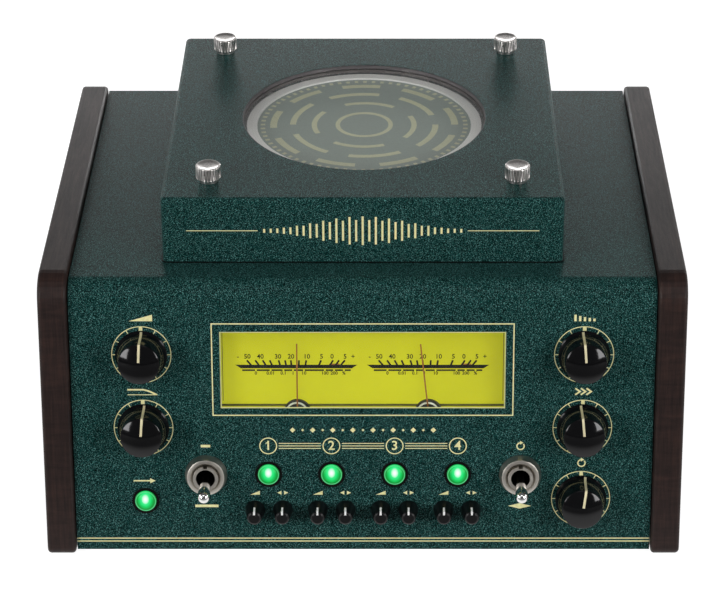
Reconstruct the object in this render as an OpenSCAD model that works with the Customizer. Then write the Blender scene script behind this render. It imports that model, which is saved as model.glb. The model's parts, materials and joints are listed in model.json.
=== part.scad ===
// Table-top drum echo unit: a sheet metal housing between wooden cheeks, with a magnetic drum
// that turns under a windowed cover. Millimetres, +Z up, front towards -Y, right towards +X.
// The origin lies on the table, under the middle of the unit.

/* [Housing] */
// Width of the metal housing between the cheeks
chassis_w = 272; // [262:1:320]
// Height of the housing from its lower edge to the deck
chassis_h = 129.5; // [116:0.5:150]
// Depth of the deck from the corner line above the front panel to the back
deck_depth = 210.5; // [207:0.5:240]
// Lean of the front panel in degrees, lower edge forward
panel_lean = 11.5; // [6:0.5:16]
// Outer radius of the bend between deck and front panel
knee_r = 10; // [5:0.5:12]
// Thickness of the housing's sheet metal
sheet_t = 2; // [1:0.25:3]
// Width of the inner flanges that carry the base plate and the rear panel
flange_w = 12; // [10:0.5:16]
// Height of the housing's lower edge above the table
ground_gap = 5; // [4:0.5:10]
// Thickness of the base plate
base_t = 1.5; // [1:0.25:3]
// Thickness of the rear panel
rear_t = 2; // [1:0.25:3]
// Gap around the base plate and the rear panel
plate_gap = 0.2; // [0.1:0.05:0.5]

/* [Cheeks] */
// Thickness of a wooden cheek
cheek_t = 13.5; // [11:0.5:20]
// Shadow gap between cheek and housing
cheek_gap = 0.5; // [0.1:0.1:0.8]
// How far a cheek stands above the deck and in front of the front panel
cheek_rise = 3.3; // [1:0.1:6]
// How far a cheek reaches below the housing's lower edge
cheek_drop = 2; // [0:0.5:3.5]
// How far a cheek reaches behind the rear panel
cheek_back = 1.5; // [0:0.5:4]
// Rounding of a cheek's long edges
cheek_edge_r = 1.8; // [1:0.1:3]
// Rounding of a cheek's corners, seen from the side
cheek_corner_r = 4; // [3.5:0.5:8]

/* [Feet and screws] */
// Diameter of a rubber foot at the base plate
foot_d = 19; // [14:1:24]
// Taper of a rubber foot on the radius
foot_taper = 1; // [0:0.25:2]
// Distance of a foot's centre from the housing's side
foot_inset_x = 27; // [24:1:60]
// Distance of a front foot's centre behind the corner line
foot_front = 8; // [6:1:40]
// Distance of a rear foot's centre from the back
foot_rear = 26; // [22:1:60]
// Diameter of a screw's shank
screw_d = 3; // [2.5:0.5:4]
// Diameter of a screw's head
screw_head_d = 6; // [5:0.5:7]
// Height of a screw's head
screw_head_h = 1.8; // [1:0.2:2.4]
// Length of a screw's shank
screw_len = 10; // [6:0.5:11]
// Length of the cross recess in a screw's head
recess_l = 3.6; // [2.4:0.2:4.6]
// Width of the cross recess
recess_w = 0.9; // [0.6:0.1:1.2]
// Gap between a screw and its hole
screw_gap = 0.15; // [0.05:0.05:0.3]
// Distance of a base screw from the flange's front and back end
base_screw_inset = 25; // [20:1:40]
// Distance of the lower rear screws above the base flange
rear_screw_low = 12; // [10:1:24]
// Distance of the upper rear screws below the deck
rear_screw_top = 16; // [12:1:24]
// Distance of a cheek screw from the corner line and from the back
cheek_screw_inset = 35; // [28:1:50]
// Distance of the upper cheek screws below the deck's face
cheek_screw_top = 22; // [18:1:30]
// Distance of the lower cheek screws above the housing's lower edge
cheek_screw_low = 25; // [18:1:30]

/* [Front panel] */
// Distance of a large knob column from the middle
knob_x = 102.8; // [98:0.2:110]
// Distance of the upper knob row down the panel from the corner line
knob_row_1 = 34.2; // [32:0.2:36]
// How far the middle knob row lies below the middle between the other two
knob_row_2 = 0.2; // [-1:0.1:1]
// Distance of the lower knob row up the panel from its foot
knob_row_3 = 26; // [24:0.2:28]
// Distance of the bypass button up the panel from its foot
bypass_row = 25; // [22:0.2:28]
// Spacing of the lit buttons
button_pitch = 29.7; // [28:0.1:31]
// Distance of the button row up the panel from its foot
button_row = 38.4; // [37.6:0.1:39.6]
// Distance of a toggle switch from the middle
toggle_x = 74; // [72:0.5:78]
// Distance of the toggle switches up the panel from its foot
toggle_row = 38; // [35:0.2:42]
// Spacing of the two small knobs of a pair
mini_pitch = 13.1; // [12:0.1:14]
// Distance of the small knob row up the panel from its foot
mini_row = 20.6; // [18.4:0.1:21.2]
// Gap between a part and its hole in the panel
hole_gap = 0.2; // [0.1:0.05:0.4]

/* [Large knobs] */
// Diameter of a knob's thin skirt
knob_skirt_d = 24.2; // [20:0.2:26]
// Thickness of the skirt
knob_skirt_t = 0.9; // [0.5:0.1:1.5]
// Diameter of the flare's foot on the skirt
knob_base_d = 24; // [21:0.2:25]
// Diameter of the waist above the flare
knob_waist_d = 20.8; // [18.5:0.1:21.5]
// Lean of the flare at its foot, from upright
knob_flare_turn = 42; // [30:1:60]
// Diameter of the domed face at its rim
knob_face_d = 19.2; // [17:0.2:20]
// Height of the dome's top above the panel
knob_h = 16.4; // [13:0.2:18]
// Rise of the dome over its rim
knob_dome = 2.4; // [1:0.1:3.6]
// Gap between knob and panel
knob_lift = 0.8; // [0.4:0.1:1.2]
// Diameter of the hollow under a knob
knob_hollow_d = 15; // [13:0.5:15.5]
// Width of a large knob's pointer groove
pointer_w = 1.1; // [0.6:0.1:1.6]
// Depth of the pointer groove
pointer_depth = 0.25; // [0.1:0.05:0.4]
// Pointer angle of the gain knob at rest, clockwise
gain_rest = 2; // [-30:1:30]
// Pointer angle of the tone knob at rest, clockwise
tone_rest = 4; // [-30:1:30]
// Pointer angle of the echo knob at rest, clockwise
echo_rest = -4; // [-30:1:30]
// Pointer angle of the speed knob at rest, clockwise
speed_rest = -5; // [-30:1:30]
// Pointer angle of the repeat knob at rest, clockwise
repeat_rest = 9; // [-30:1:30]

/* [Large potentiometers] */
// Diameter of the turning shaft
shaft_d = 6; // [5:0.25:6.5]
// Depth of the shaft behind the panel's face
shaft_depth = 8; // [6:0.5:9]
// Diameter of the threaded bush
pot_bush_d = 8; // [7.5:0.25:9]
// How far the bush stands out of the panel
pot_bush_out = 4.5; // [3.5:0.25:5]
// Diameter of the can
pot_can_d = 17; // [14:0.5:20]
// Depth of the can
pot_can_t = 10; // [9:0.5:14]
// Width of the nut across its flats
pot_nut_w = 10.5; // [10:0.25:11]
// Thickness of the nut
pot_nut_t = 2; // [1:0.25:3]
// Running gap between a shaft and its bore
run_gap = 0.05; // [0.02:0.01:0.1]

/* [Small knobs] */
// Diameter of a small knob at the panel
mini_base_d = 9.5; // [8:0.1:10]
// Diameter of its face
mini_face_d = 6.2; // [5:0.1:7.5]
// Height of its face above the panel
mini_h = 11.8; // [8:0.2:14]
// Rounding bevel at the face
mini_bevel = 0.6; // [0.2:0.1:0.8]
// Gap between small knob and panel
mini_lift = 0.6; // [0.3:0.1:1]
// Width of its pointer groove
mini_pointer_w = 0.7; // [0.4:0.1:1]
// Length of its pointer groove along the knob
mini_pointer_l = 4.5; // [3:0.5:7]
// How far the pointer groove runs onto its face
mini_pointer_face = 0.8; // [0.5:0.1:2]
// Diameter of its stem
mini_stem_d = 3; // [2.5:0.25:3.5]
// Depth of the stem behind the panel's face
mini_stem_depth = 12; // [11:0.5:13]
// Width of the potentiometer body
mini_pot_w = 9.6; // [8:0.1:10.5]
// Depth of the potentiometer body
mini_pot_t = 6.5; // [6:0.25:7.5]
// Diameter of its collar behind the panel
mini_collar_d = 6; // [5:0.25:7]

/* [Toggle switches] */
// Diameter of the threaded bush
toggle_bush_d = 12; // [11:0.25:12.5]
// How far the bush stands out of the panel
toggle_bush_out = 5.4; // [4:0.2:6]
// Width of the keyway along the top of the bush
toggle_key_w = 1.9; // [1:0.1:3]
// Depth of the keyway
toggle_key_depth = 1; // [0.5:0.05:1.1]
// Diameter of the round nut at the panel
toggle_nut_d = 19.8; // [18:0.2:22]
// Diameter of the nut's front
toggle_nut_face_d = 17.3; // [15.5:0.1:18]
// Thickness of the nut
toggle_nut_t = 4.2; // [3:0.2:5]
// Height of the lever's pivot above the panel
toggle_pivot_h = 1; // [0:0.2:1.6]
// Length of the lever from its pivot to the middle of its tip
lever_len = 18; // [14:0.5:22]
// Length of the lever behind its pivot
lever_tail = 4.5; // [3:0.25:5.5]
// Diameter of the lever at its pivot
lever_root_d = 4; // [3:0.25:4.5]
// Diameter of the round tip
lever_tip_d = 6; // [5:0.25:7]
// Tilt of the lever from straight out, each way
lever_tilt = 12; // [8:1:14]
// Diameter of the pivot pin
lever_pin_d = 2; // [1.5:0.25:2.5]
// Wall of the bush at each end of the pivot pin's bore
lever_pin_wall = 0.5; // [0.4:0.05:0.8]
// Depth behind the panel's face of the hole that the lever swings in
lever_hole_depth = 9; // [7:0.5:12]
// Diameter of the hole that the lever swings in
lever_hole_d = 9; // [8.5:0.25:9.25]
// Width of the switch body
toggle_body_w = 14; // [13:0.5:16]
// Length of the switch body along the panel
toggle_body_l = 21.5; // [20:0.5:24]
// Depth of the switch body
toggle_body_t = 20; // [16:0.5:24]

/* [Lit buttons] */
// Diameter of the lens cap
button_cap_d = 10; // [9:0.1:10.4]
// How far the lens cap's rim stands out of the panel
button_rim_out = 1.2; // [0.5:0.1:2]
// Rise of the lens dome over its rim
button_dome = 1.6; // [0.8:0.1:2.2]
// Length of the cap behind the panel's face
button_cap_depth = 3.6; // [3:0.1:4.2]
// Travel of a button
button_travel = 1.5; // [1:0.1:2]
// Gap between cap and housing
button_gap = 0.12; // [0.05:0.01:0.2]
// Diameter of the housing's barrel
button_barrel_d = 11.6; // [11.4:0.1:12]
// Diameter of the black bezel
button_bezel_d = 12.8; // [12.6:0.1:14]
// Thickness of the bezel
button_bezel_t = 0.6; // [0.3:0.1:1]
// Diameter of the ring nut behind the panel
button_nut_d = 15; // [14:0.5:16]
// Thickness of the ring nut
button_nut_t = 2; // [1.5:0.25:3]

/* [Level meters] */
// Width of the meter window
meter_w = 133; // [128:0.5:136]
// Height of the meter window
meter_h = 37.8; // [34:0.2:40]
// Distance of the window's upper edge down the panel
meter_top = 23; // [21:0.2:25]
// Gap between the clear window and the panel
lens_gap = 0.15; // [0.05:0.05:0.3]
// How far the clear window lies below the panel's face
lens_recess = 0.4; // [0.2:0.1:0.8]
// Thickness of the clear window's flange
lens_t = 2; // [1.5:0.25:3]
// Width of the clear window's flange
lens_flange = 3; // [2.5:0.25:4]
// How far the meter housing reaches below the window
meter_chin = 14; // [13.5:0.25:15]
// Depth of the meter housing
meter_depth = 20; // [16:0.5:24]
// Wall of the meter housing
meter_wall = 2; // [1:0.25:2.25]
// Depth of the dial behind the clear window
dial_depth = 4; // [3.5:0.25:5]
// Thickness of the dial
dial_t = 1; // [0.6:0.1:1.6]
// Distance of a needle's pivot from the middle
needle_x = 30.8; // [28:0.2:33]
// Distance of a needle's pivot below the window's lower edge
needle_drop = 4.1; // [3:0.1:5]
// Length of a needle from its pivot
needle_len = 34.5; // [30:0.5:38]
// Width of a needle
needle_w = 0.7; // [0.4:0.1:1]
// Thickness of a needle
needle_t = 0.4; // [0.3:0.1:0.6]
// Diameter of a needle's hub
needle_hub_d = 4.2; // [3:0.2:6]
// Diameter of a needle's pin
needle_pin_d = 1.2; // [0.8:0.1:1.6]
// Depth of a needle's pin behind the dial
needle_pin_l = 5; // [3:0.5:7]
// Diameter of a coil cover at a needle's foot
coil_d = 12.5; // [10:0.5:13]
// Angle of the right needle at rest, clockwise
right_needle_rest = -6.5; // [-20:0.5:20]

/* [Control board] */
// Gap between the panel's face and the control board
board_depth = 16; // [15.5:0.25:18]
// Thickness of a circuit board
board_t = 1.6; // [1:0.2:2.4]
// Half the width of the control board
board_half_w = 60; // [59:0.5:64]
// How far the control board reaches past its button and knob rows
board_margin = 8; // [6:0.5:9]

/* [Main board] */
// Width of the main board
main_w = 180; // [160:1:200]
// Depth of the main board
main_d = 110; // [100:1:120]
// Distance of its front edge behind the corner line
main_front = 50; // [46:1:56]
// Height of the studs that carry it
stud_h = 6; // [4:0.5:10]
// Diameter of a stud
stud_d = 7; // [5:0.5:9]
// Distance of a stud from the board's edge
stud_inset = 8; // [6:0.5:12]
// Diameter of a capacitor on the main board
cap_d = 14; // [8:0.5:18]
// Height of a capacitor
cap_h = 18; // [8:0.5:20]
// Spacing of the capacitors
cap_pitch = 26; // [20:1:30]
// Distance of the capacitors in front of the board's middle
cap_row = 22; // [16:1:30]
// Width of a chip on the main board
chip_w = 22; // [12:1:30]
// Depth of a chip
chip_d = 18; // [8:1:24]
// Height of a chip
chip_h = 3; // [2:0.25:5]
// Spacing of the chips
chip_pitch = 45; // [34:1:50]
// Distance of the chips behind the board's middle
chip_row = 18; // [14:1:30]

/* [Drum cover] */
// Width of the cover
cover_w = 187.2; // [182:0.2:196]
// Depth of the cover
cover_d = 183.5; // [179:0.5:188]
// Height of the cover
cover_h = 33.2; // [32:0.2:40]
// Distance of its front face behind the corner line
cover_front = 21.5; // [18:0.5:23]
// Thickness of its sheet metal
cover_t = 2; // [1:0.25:2.5]
// Rounding of its upper edges
cover_edge_r = 1.8; // [0.6:0.2:2.2]
// Rounding of its upright corners
cover_corner_r = 2.6; // [2.4:0.2:5]
// Radius of the window
window_r = 59.6; // [54:0.2:62]
// Thickness of the window pane
pane_t = 1.5; // [1:0.25:1.75]
// How far the pane laps under the cover's top
pane_lap = 5; // [2:0.5:6]
// Distance of a thumbscrew from the cover's side
thumb_inset_x = 21.5; // [18:0.5:24]
// Distance of a thumbscrew from the cover's front or back
thumb_inset_y = 18.5; // [15:0.5:20]
// Diameter of a thumbscrew's head
thumb_d = 11.7; // [9:0.1:15]
// Height of a thumbscrew's head
thumb_h = 7.1; // [5:0.1:12]
// Bevel of the head
thumb_bevel = 1; // [0.5:0.1:1.5]
// Diameter of the collar under the head
thumb_collar_d = 9; // [7:0.5:9]
// Height of the collar under the head
thumb_collar_h = 1; // [0.5:0.1:2]
// Diameter of the screw's shank
thumb_shank_d = 5; // [4:0.25:6]
// Length of the screw's shank
thumb_shank_l = 15; // [8:0.5:20]
// Diameter of a cover post
post_d = 10; // [9:0.5:14]
// Gap between thumbscrew and post bore
thumb_gap = 0.1; // [0.05:0.01:0.2]
// Gap between the cover and what lies under it
cover_gap = 0.2; // [0.1:0.05:0.4]

/* [Drum and drive] */
// Radius of the drum
drum_r = 57.6; // [52:0.2:58.4]
// How far the drum stands in front of the cover's middle
drum_shift = 2.4; // [0:0.2:4]
// Distance of the drum's rim below the cover's top face
drum_drop = 5.2; // [4:0.1:6]
// Width of the bright rim round the disc
rim_w = 5; // [3:0.2:8]
// Depth of the disc's seat under the rim
seat_depth = 1.8; // [1.2:0.1:3]
// Diameter of the hub boss under the drum
drum_hub_d = 20; // [14:0.5:30]
// Height of the hub boss
drum_hub_h = 1; // [0.5:0.25:2]
// Thickness of the disc
disc_t = 1; // [0.6:0.1:1.1]
// Thickness of the drum deck plate
deck_t = 3; // [2:0.25:4]
// Gap between the deck plate and the inside of the cover
deck_inset = 3; // [2:0.25:6]
// Diameter of the spindle
spindle_d = 8; // [6:0.5:10]
// Diameter of the collar that stops the spindle under its bearing
spindle_collar_d = 16; // [11:0.5:20]
// Diameter of the bearing's barrel
bearing_d = 23; // [18:0.5:28]
// Length of the barrel below the deck plate's upper face
bearing_l = 23; // [16:0.5:24]
// Diameter of the bearing's flange
bearing_flange_d = 40; // [32:1:46]
// Thickness of the bearing's flange
bearing_flange_t = 3; // [2:0.25:3.5]
// Play between turning and fixed faces
face_gap = 0.3; // [0.2:0.05:0.5]
// Diameter of the drum's belt pulley
drum_pulley_d = 46; // [36:0.5:50]
// Diameter of the motor's belt pulley
motor_pulley_d = 14; // [10:0.5:18]
// Height of the pulleys' rims
pulley_h = 7; // [6:0.25:9]
// Height of a pulley's flanges over the belt seat
pulley_flange = 1.6; // [1.4:0.1:2.5]
// Distance between spindle and motor shaft
motor_offset = 62; // [56:0.5:70]
// Diameter of the motor
motor_d = 38; // [30:0.5:42]
// Height of the motor
motor_h = 22; // [16:0.5:23]
// Diameter of the motor's shaft
motor_shaft_d = 3; // [2:0.25:4]
// Depth of the shaft in the motor
motor_shaft_l = 11; // [8:0.5:14]
// Gap between the motor and its pulley
motor_gap = 3; // [2:0.25:3]
// Width of the belt
belt_w = 4; // [3:0.25:4.5]
// Thickness of the belt
belt_t = 1; // [0.6:0.1:1.2]

/* [Magnetic heads] */
// Width of a head round the drum
head_w = 13; // [9:0.5:16]
// Depth of a head away from the drum
head_d = 11; // [8:0.5:13]
// Height of a head
head_h = 14; // [9:0.5:16]
// Gap between a head and the drum
head_gap = 0.4; // [0.3:0.05:0.8]
// Thickness of a head bracket
bracket_t = 2.5; // [1.5:0.25:3]
// Length of a bracket's foot
bracket_foot = 10; // [7:0.5:11]

/* [Rear sockets] */
// Distance of the first audio socket from the middle
jack_first_x = -20; // [-30:1:-10]
// Spacing of the audio sockets
jack_pitch = 28; // [24:0.5:29]
// Height of the socket row above the housing's lower edge
jack_row = 48; // [44:0.5:60]
// Diameter of an audio socket's bore
jack_bore_d = 6.45; // [6.4:0.01:6.5]
// Depth of an audio socket's bore
jack_bore_depth = 26; // [22:0.5:28]
// Diameter of its threaded bush
jack_bush_d = 9.4; // [9:0.1:10]
// How far the bush stands out of the rear panel
jack_out = 6; // [4:0.5:8]
// Width of the socket body
jack_body_w = 16; // [14:0.5:18]
// Depth of the socket body
jack_body_l = 24; // [22:0.5:30]
// Width of the socket's nut across its flats
jack_nut_w = 13; // [12:0.5:15]
// Thickness of the socket's nut
jack_nut_t = 2.2; // [1.5:0.1:3]
// Distance of the DC socket from the middle
dc_x = -100; // [-108:1:-90]
// Diameter of the DC socket's bore
dc_bore_d = 5.6; // [5.5:0.05:6]
// Diameter of the DC socket's pin
dc_pin_d = 2.1; // [1.9:0.1:2.5]
// Distance of the pin's end behind the DC socket's mouth
dc_pin_back = 1; // [0.5:0.25:2]
// Depth of the DC socket's bore
dc_depth = 9.5; // [8:0.5:11]
// Diameter of the DC socket's barrel
dc_barrel_d = 10; // [9:0.25:11]
// Diameter of the DC socket's flange
dc_flange_d = 13; // [12:0.5:16]
// Thickness of the DC socket's flange
dc_flange_t = 1.5; // [1:0.25:2.5]
// Length of the DC socket behind the rear panel
dc_body_l = 12; // [11:0.5:16]

/* [Hidden] */
$fn = 64;
hull_fn = 32;
edge_steps = 4;
press_gap = 0.01;
over = 5;
flare_steps = 6;
dome_steps = 6;

MINI_NAMES = [for (k = [1:4]) each [str("volume_knob_", k), str("balance_knob_", k)]];
BUTTON_NAMES = [for (k = [1:4]) str("head_button_", k)];
THUMB_NAMES = ["thumbscrew_front_left", "thumbscrew_front_right",
               "thumbscrew_rear_left", "thumbscrew_rear_right"];

// Main levels and lines of the housing
deck_z = ground_gap + chassis_h;
panel_l = chassis_h / cos(panel_lean);
lever_reach_s = panel_l - toggle_row + lever_len * sin(lever_tilt);
lever_reach_h = toggle_pivot_h + lever_len * cos(lever_tilt) + lever_tip_d / 2;
front_reach = lever_reach_s * sin(panel_lean) + lever_reach_h * cos(panel_lean);
corner_y = (front_reach - deck_depth - jack_out) / 2;
back_y = corner_y + deck_depth;
inner_w = chassis_w - 2 * sheet_t;
knee_run = knee_r * tan((90 - panel_lean) / 2);
plate_top = ground_gap + base_t;
flange_x = inner_w / 2 - flange_w / 2;
rear_inner_y = back_y - rear_t;

// Places of the controls on the panel, each as distance from the middle and down the slope
button_s = panel_l - button_row;
mini_s = panel_l - mini_row;
low_knob_s = panel_l - knob_row_3;
mid_knob_s = (knob_row_1 + low_knob_s) / 2 + knob_row_2;
BUTTONS = [for (k = [0:3]) [(k - 1.5) * button_pitch, button_s]];
BYPASS = [-knob_x, panel_l - bypass_row];
TOGGLES = [for (side = [-1, 1]) [side * toggle_x, panel_l - toggle_row]];
MINIS = [for (b = BUTTONS, side = [-1, 1]) [b[0] + side * mini_pitch / 2, mini_s]];
KNOBS = [[-knob_x, knob_row_1, gain_rest], [-knob_x, mid_knob_s, tone_rest],
         [knob_x, knob_row_1, echo_rest], [knob_x, mid_knob_s, speed_rest],
         [knob_x, low_knob_s, repeat_rest]];
pin_bore_l = toggle_bush_d - 2 * lever_pin_wall;

// Levels behind the panel's face
lens_back = -sheet_t - lens_t;
dial_front = lens_back - dial_depth;
dial_back = dial_front - dial_t;
meter_back = lens_back - meter_depth;
meter_mid = meter_top + meter_h / 2;
needle_level = dial_front + dial_depth / 2;
coil_front = needle_level - 2 * needle_t;
pivot_y = -meter_h / 2 - needle_drop;

// Middles of the cover and of the drum, and the levels of what lies under the cover
cover_y = corner_y + cover_front + cover_d / 2;
drum_y = cover_y - drum_shift;
cover_top = deck_z + cover_h;
cover_under = cover_top - cover_t;
plate_z = deck_z + deck_t;
hub_z = plate_z + bearing_flange_t + face_gap;
wheel_z = hub_z + drum_hub_h;
rim_z = cover_top - drum_drop;
seat_z = rim_z - seat_depth;
barrel_z = plate_z - bearing_l;
motor_z = deck_z - sheet_t - motor_h;
pulley_z = motor_z - motor_gap - pulley_h;
belt_z = pulley_z + (pulley_h - belt_w) / 2;
drum_seat_r = drum_pulley_d / 2;
motor_seat_r = motor_pulley_d / 2;
THUMBS = [for (fy = [-1, 1], fx = [-1, 1])
  [fx * (cover_w / 2 - thumb_inset_x), cover_y + fy * (cover_d / 2 - thumb_inset_y)]];

// Heads stand round the drum in the order in which its surface passes them
ERASE_AT = 218;
RECORD_AT = 147;
PLAYBACK_AT = [112, 68, 22, -28];
head_r = drum_r + head_gap;
head_z = wheel_z + (rim_z - wheel_z - head_h) / 2;

JACKS = [for (k = [0:4]) jack_first_x + k * jack_pitch];
jack_z = ground_gap + jack_row;

// Screw places: base along the two flanges, rear at the flanges' ends, cheeks from inside
BASE_SCREW_YS = [for (k = [0:2])
  corner_y + base_screw_inset + k * (deck_depth / 2 - base_screw_inset)];
REAR_SCREW_ZS = [plate_top + sheet_t + rear_screw_low, deck_z - sheet_t - rear_screw_top];
CHEEK_SCREWS = [for (y = [corner_y + cheek_screw_inset, back_y - cheek_screw_inset],
                     z = [deck_z - cheek_screw_top, ground_gap + cheek_screw_low]) [y, z]];

// A point of the panel as [y, z], s down the slope and h out of the panel's face
function panel_point(s, h) =
  [corner_y - s * sin(panel_lean) - h * cos(panel_lean),
   deck_z - s * cos(panel_lean) + h * sin(panel_lean)];

// Distance down the slope at which a line h out of the panel reaches the height z
function slope_at(z, h) = (deck_z - z + h * sin(panel_lean)) / cos(panel_lean);

// Points of an arc round c, from angle a to angle b
function arc(c, r, a, b, steps = 24) =
  [for (k = [0:steps]) let (w = a + (b - a) * k / steps) c + r * [cos(w), sin(w)]];

// Places its children on the panel: X right, Y up the slope, Z out of the face
module on_panel(at) {
  p = panel_point(at[1], 0);
  translate([at[0], p[0], p[1]]) rotate([90 - panel_lean, 0, 0]) children();
}

// Places its children on the rear panel with Z out of its face
module on_rear(x, z) {
  translate([x, back_y, z]) rotate([-90, 0, 0]) children();
}

// Places its children beside the drum with X away from its axis
module round_drum(angle) {
  translate([0, drum_y, 0]) rotate([0, 0, angle]) children();
}

// Extrudes an outline drawn in Y and Z across the width w
module across(w) {
  rotate([90, 0, 90]) translate([0, 0, -w / 2]) linear_extrude(w) children();
}

module ring(outer_d, inner_d, h) {
  difference() {
    cylinder(d = outer_d, h = h);
    translate([0, 0, -over]) cylinder(d = inner_d, h = h + 2 * over);
  }
}

// Block that is centred in X and Y and stands on Z = 0
module block(w, d, h) {
  translate([-w / 2, -d / 2, 0]) cube([w, d, h]);
}

module hex_nut(across_flats, bore_d, t) {
  difference() {
    cylinder(d = across_flats / cos(30), h = t, $fn = 6);
    translate([0, 0, -over]) cylinder(d = bore_d, h = t + 2 * over);
  }
}

// Pan head screw with its head above Z = 0
module screw() {
  difference() {
    union() {
      cylinder(d = screw_head_d, h = screw_head_h);
      translate([0, 0, -screw_len]) cylinder(d = screw_d, h = screw_len + screw_head_h / 2);
    }
    for (turn = [0, 90]) rotate([0, 0, turn])
      translate([0, 0, screw_head_h / 2]) block(recess_l, recess_w, over);
  }
}

module screw_hole() {
  cylinder(d = screw_d + 2 * screw_gap, h = 2 * screw_len + over, center = true);
}

// Places its children at each screw, with Z out of the surface that the head lies on
module at_base_screws() {
  for (x = [-flange_x, flange_x], y = BASE_SCREW_YS)
    translate([x, y, ground_gap]) rotate([180, 0, 0]) children();
}

module at_rear_screws() {
  for (x = [-flange_x, flange_x], z = REAR_SCREW_ZS) on_rear(x, z) children();
}

module at_cheek_screws(side) {
  for (p = CHEEK_SCREWS)
    translate([side * inner_w / 2, p[0], p[1]]) rotate([0, -90 * side, 0]) children();
}

// Outline of the housing in Y and Z, its faces moved inwards by inset, its open sides out by reach
module housing_outline(inset, reach) {
  low = ground_gap - reach;
  knee = [corner_y + knee_run, deck_z - knee_r];
  polygon(concat(
    [panel_point(slope_at(low, -inset), -inset)],
    arc(knee, knee_r - inset, 180 - panel_lean, 90),
    [[back_y + reach, deck_z - inset], [back_y + reach, low]]));
}

module chassis_shell() color([0.1, 0.25, 0.23]) difference() {
  union() {
    difference() {
      across(chassis_w) housing_outline(0, 0);
      across(inner_w) housing_outline(sheet_t, over);
    }
    for (side = [-1, 1]) {
      translate([side * flange_x, (corner_y + rear_inner_y) / 2, plate_top])
        block(flange_w + sheet_t, rear_inner_y - corner_y, sheet_t);
      translate([side * flange_x, rear_inner_y - sheet_t / 2, plate_top])
        block(flange_w + sheet_t, sheet_t, deck_z - sheet_t / 2 - plate_top);
    }
  }
  for (k = KNOBS) on_panel(k)
    cylinder(d = pot_bush_d + 2 * hole_gap, h = 4 * sheet_t, center = true);
  for (b = concat(BUTTONS, [BYPASS])) on_panel(b)
    cylinder(d = button_barrel_d + 2 * hole_gap, h = 4 * sheet_t, center = true);
  for (t = TOGGLES) on_panel(t)
    cylinder(d = toggle_bush_d + 2 * hole_gap, h = 4 * sheet_t, center = true);
  for (m = MINIS) on_panel(m)
    cylinder(d = mini_stem_d + 4 * hole_gap, h = 4 * sheet_t, center = true);
  on_panel([0, meter_mid])
    translate([0, 0, -2 * sheet_t]) block(meter_w, meter_h, 4 * sheet_t);
  translate([0, drum_y, deck_z])
    cylinder(d = bearing_d + 2 * hole_gap, h = 4 * sheet_t, center = true);
  at_base_screws() screw_hole();
  at_rear_screws() screw_hole();
  for (side = [-1, 1]) at_cheek_screws(side) screw_hole();
}

module base_plate() color([0.3, 0.31, 0.32]) {
  front = panel_point(slope_at(plate_top, -sheet_t), -sheet_t)[0] + plate_gap;
  back = rear_inner_y - plate_gap;
  difference() {
    translate([0, (front + back) / 2, ground_gap])
      block(inner_w - 2 * plate_gap, back - front, base_t);
    at_base_screws() screw_hole();
  }
  for (fx = [-1, 1], fy = [0, 1])
    translate([fx * (main_w / 2 - stud_inset),
               corner_y + main_front + stud_inset + fy * (main_d - 2 * stud_inset),
               plate_top - base_t / 2])
      cylinder(d = stud_d, h = stud_h + base_t / 2);
}

module rear_panel() color([0.1, 0.25, 0.23]) difference() {
  translate([0, back_y - rear_t / 2, ground_gap])
    block(inner_w - 2 * plate_gap, rear_t, chassis_h - sheet_t - plate_gap);
  for (x = JACKS) on_rear(x, jack_z)
    cylinder(d = jack_bush_d + 2 * hole_gap, h = 4 * rear_t, center = true);
  on_rear(dc_x, jack_z) cylinder(d = dc_barrel_d + 2 * hole_gap, h = 4 * rear_t, center = true);
  at_rear_screws() screw_hole();
}

// A cheek follows the housing's side view. It spans discs with rounded edges, one at each corner.
module cheek_disc(at, r) {
  flat = cheek_t / 2 - cheek_edge_r;
  translate([0, at[0], at[1]]) rotate([0, 90, 0]) rotate_extrude($fn = hull_fn) polygon(concat(
    [[0, -cheek_t / 2]],
    arc([r - cheek_edge_r, -flat], cheek_edge_r, -90, 0, edge_steps),
    arc([r - cheek_edge_r, flat], cheek_edge_r, 0, 90, edge_steps),
    [[0, cheek_t / 2]]));
}

module cheek(side) color([0.2, 0.14, 0.13]) difference() {
  low = ground_gap - cheek_drop + cheek_corner_r;
  high = deck_z + cheek_rise - cheek_corner_r;
  back = back_y + cheek_back - cheek_corner_r;
  h = cheek_rise - cheek_corner_r;
  translate([side * (chassis_w / 2 + cheek_gap + cheek_t / 2), 0, 0]) hull() {
    cheek_disc([corner_y + knee_run, deck_z - knee_r], knee_r + cheek_rise);
    cheek_disc([back, high], cheek_corner_r);
    cheek_disc([back, low], cheek_corner_r);
    cheek_disc([panel_point(slope_at(low, h), h)[0], low], cheek_corner_r);
  }
  at_cheek_screws(side) screw_hole();
}

module left_cheek() cheek(-1);

module right_cheek() cheek(1);

module rubber_feet() color([0.08, 0.08, 0.08])
  for (fx = [-1, 1], y = [corner_y + foot_front, back_y - foot_rear])
    translate([fx * (chassis_w / 2 - foot_inset_x), y, 0])
      cylinder(d1 = foot_d - 2 * foot_taper, d2 = foot_d, h = ground_gap);

module housing_screws() color([0.15, 0.15, 0.16]) {
  at_base_screws() screw();
  at_rear_screws() screw();
  for (side = [-1, 1]) at_cheek_screws(side) screw();
}

module drum_deck() color([0.6, 0.62, 0.63]) difference() {
  translate([0, cover_y, deck_z])
    block(cover_w - 2 * (cover_t + deck_inset), cover_d - 2 * (cover_t + deck_inset), deck_t);
  translate([0, drum_y, deck_z]) cylinder(d = bearing_d + 2 * hole_gap, h = 4 * deck_t, center = true);
}

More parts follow.
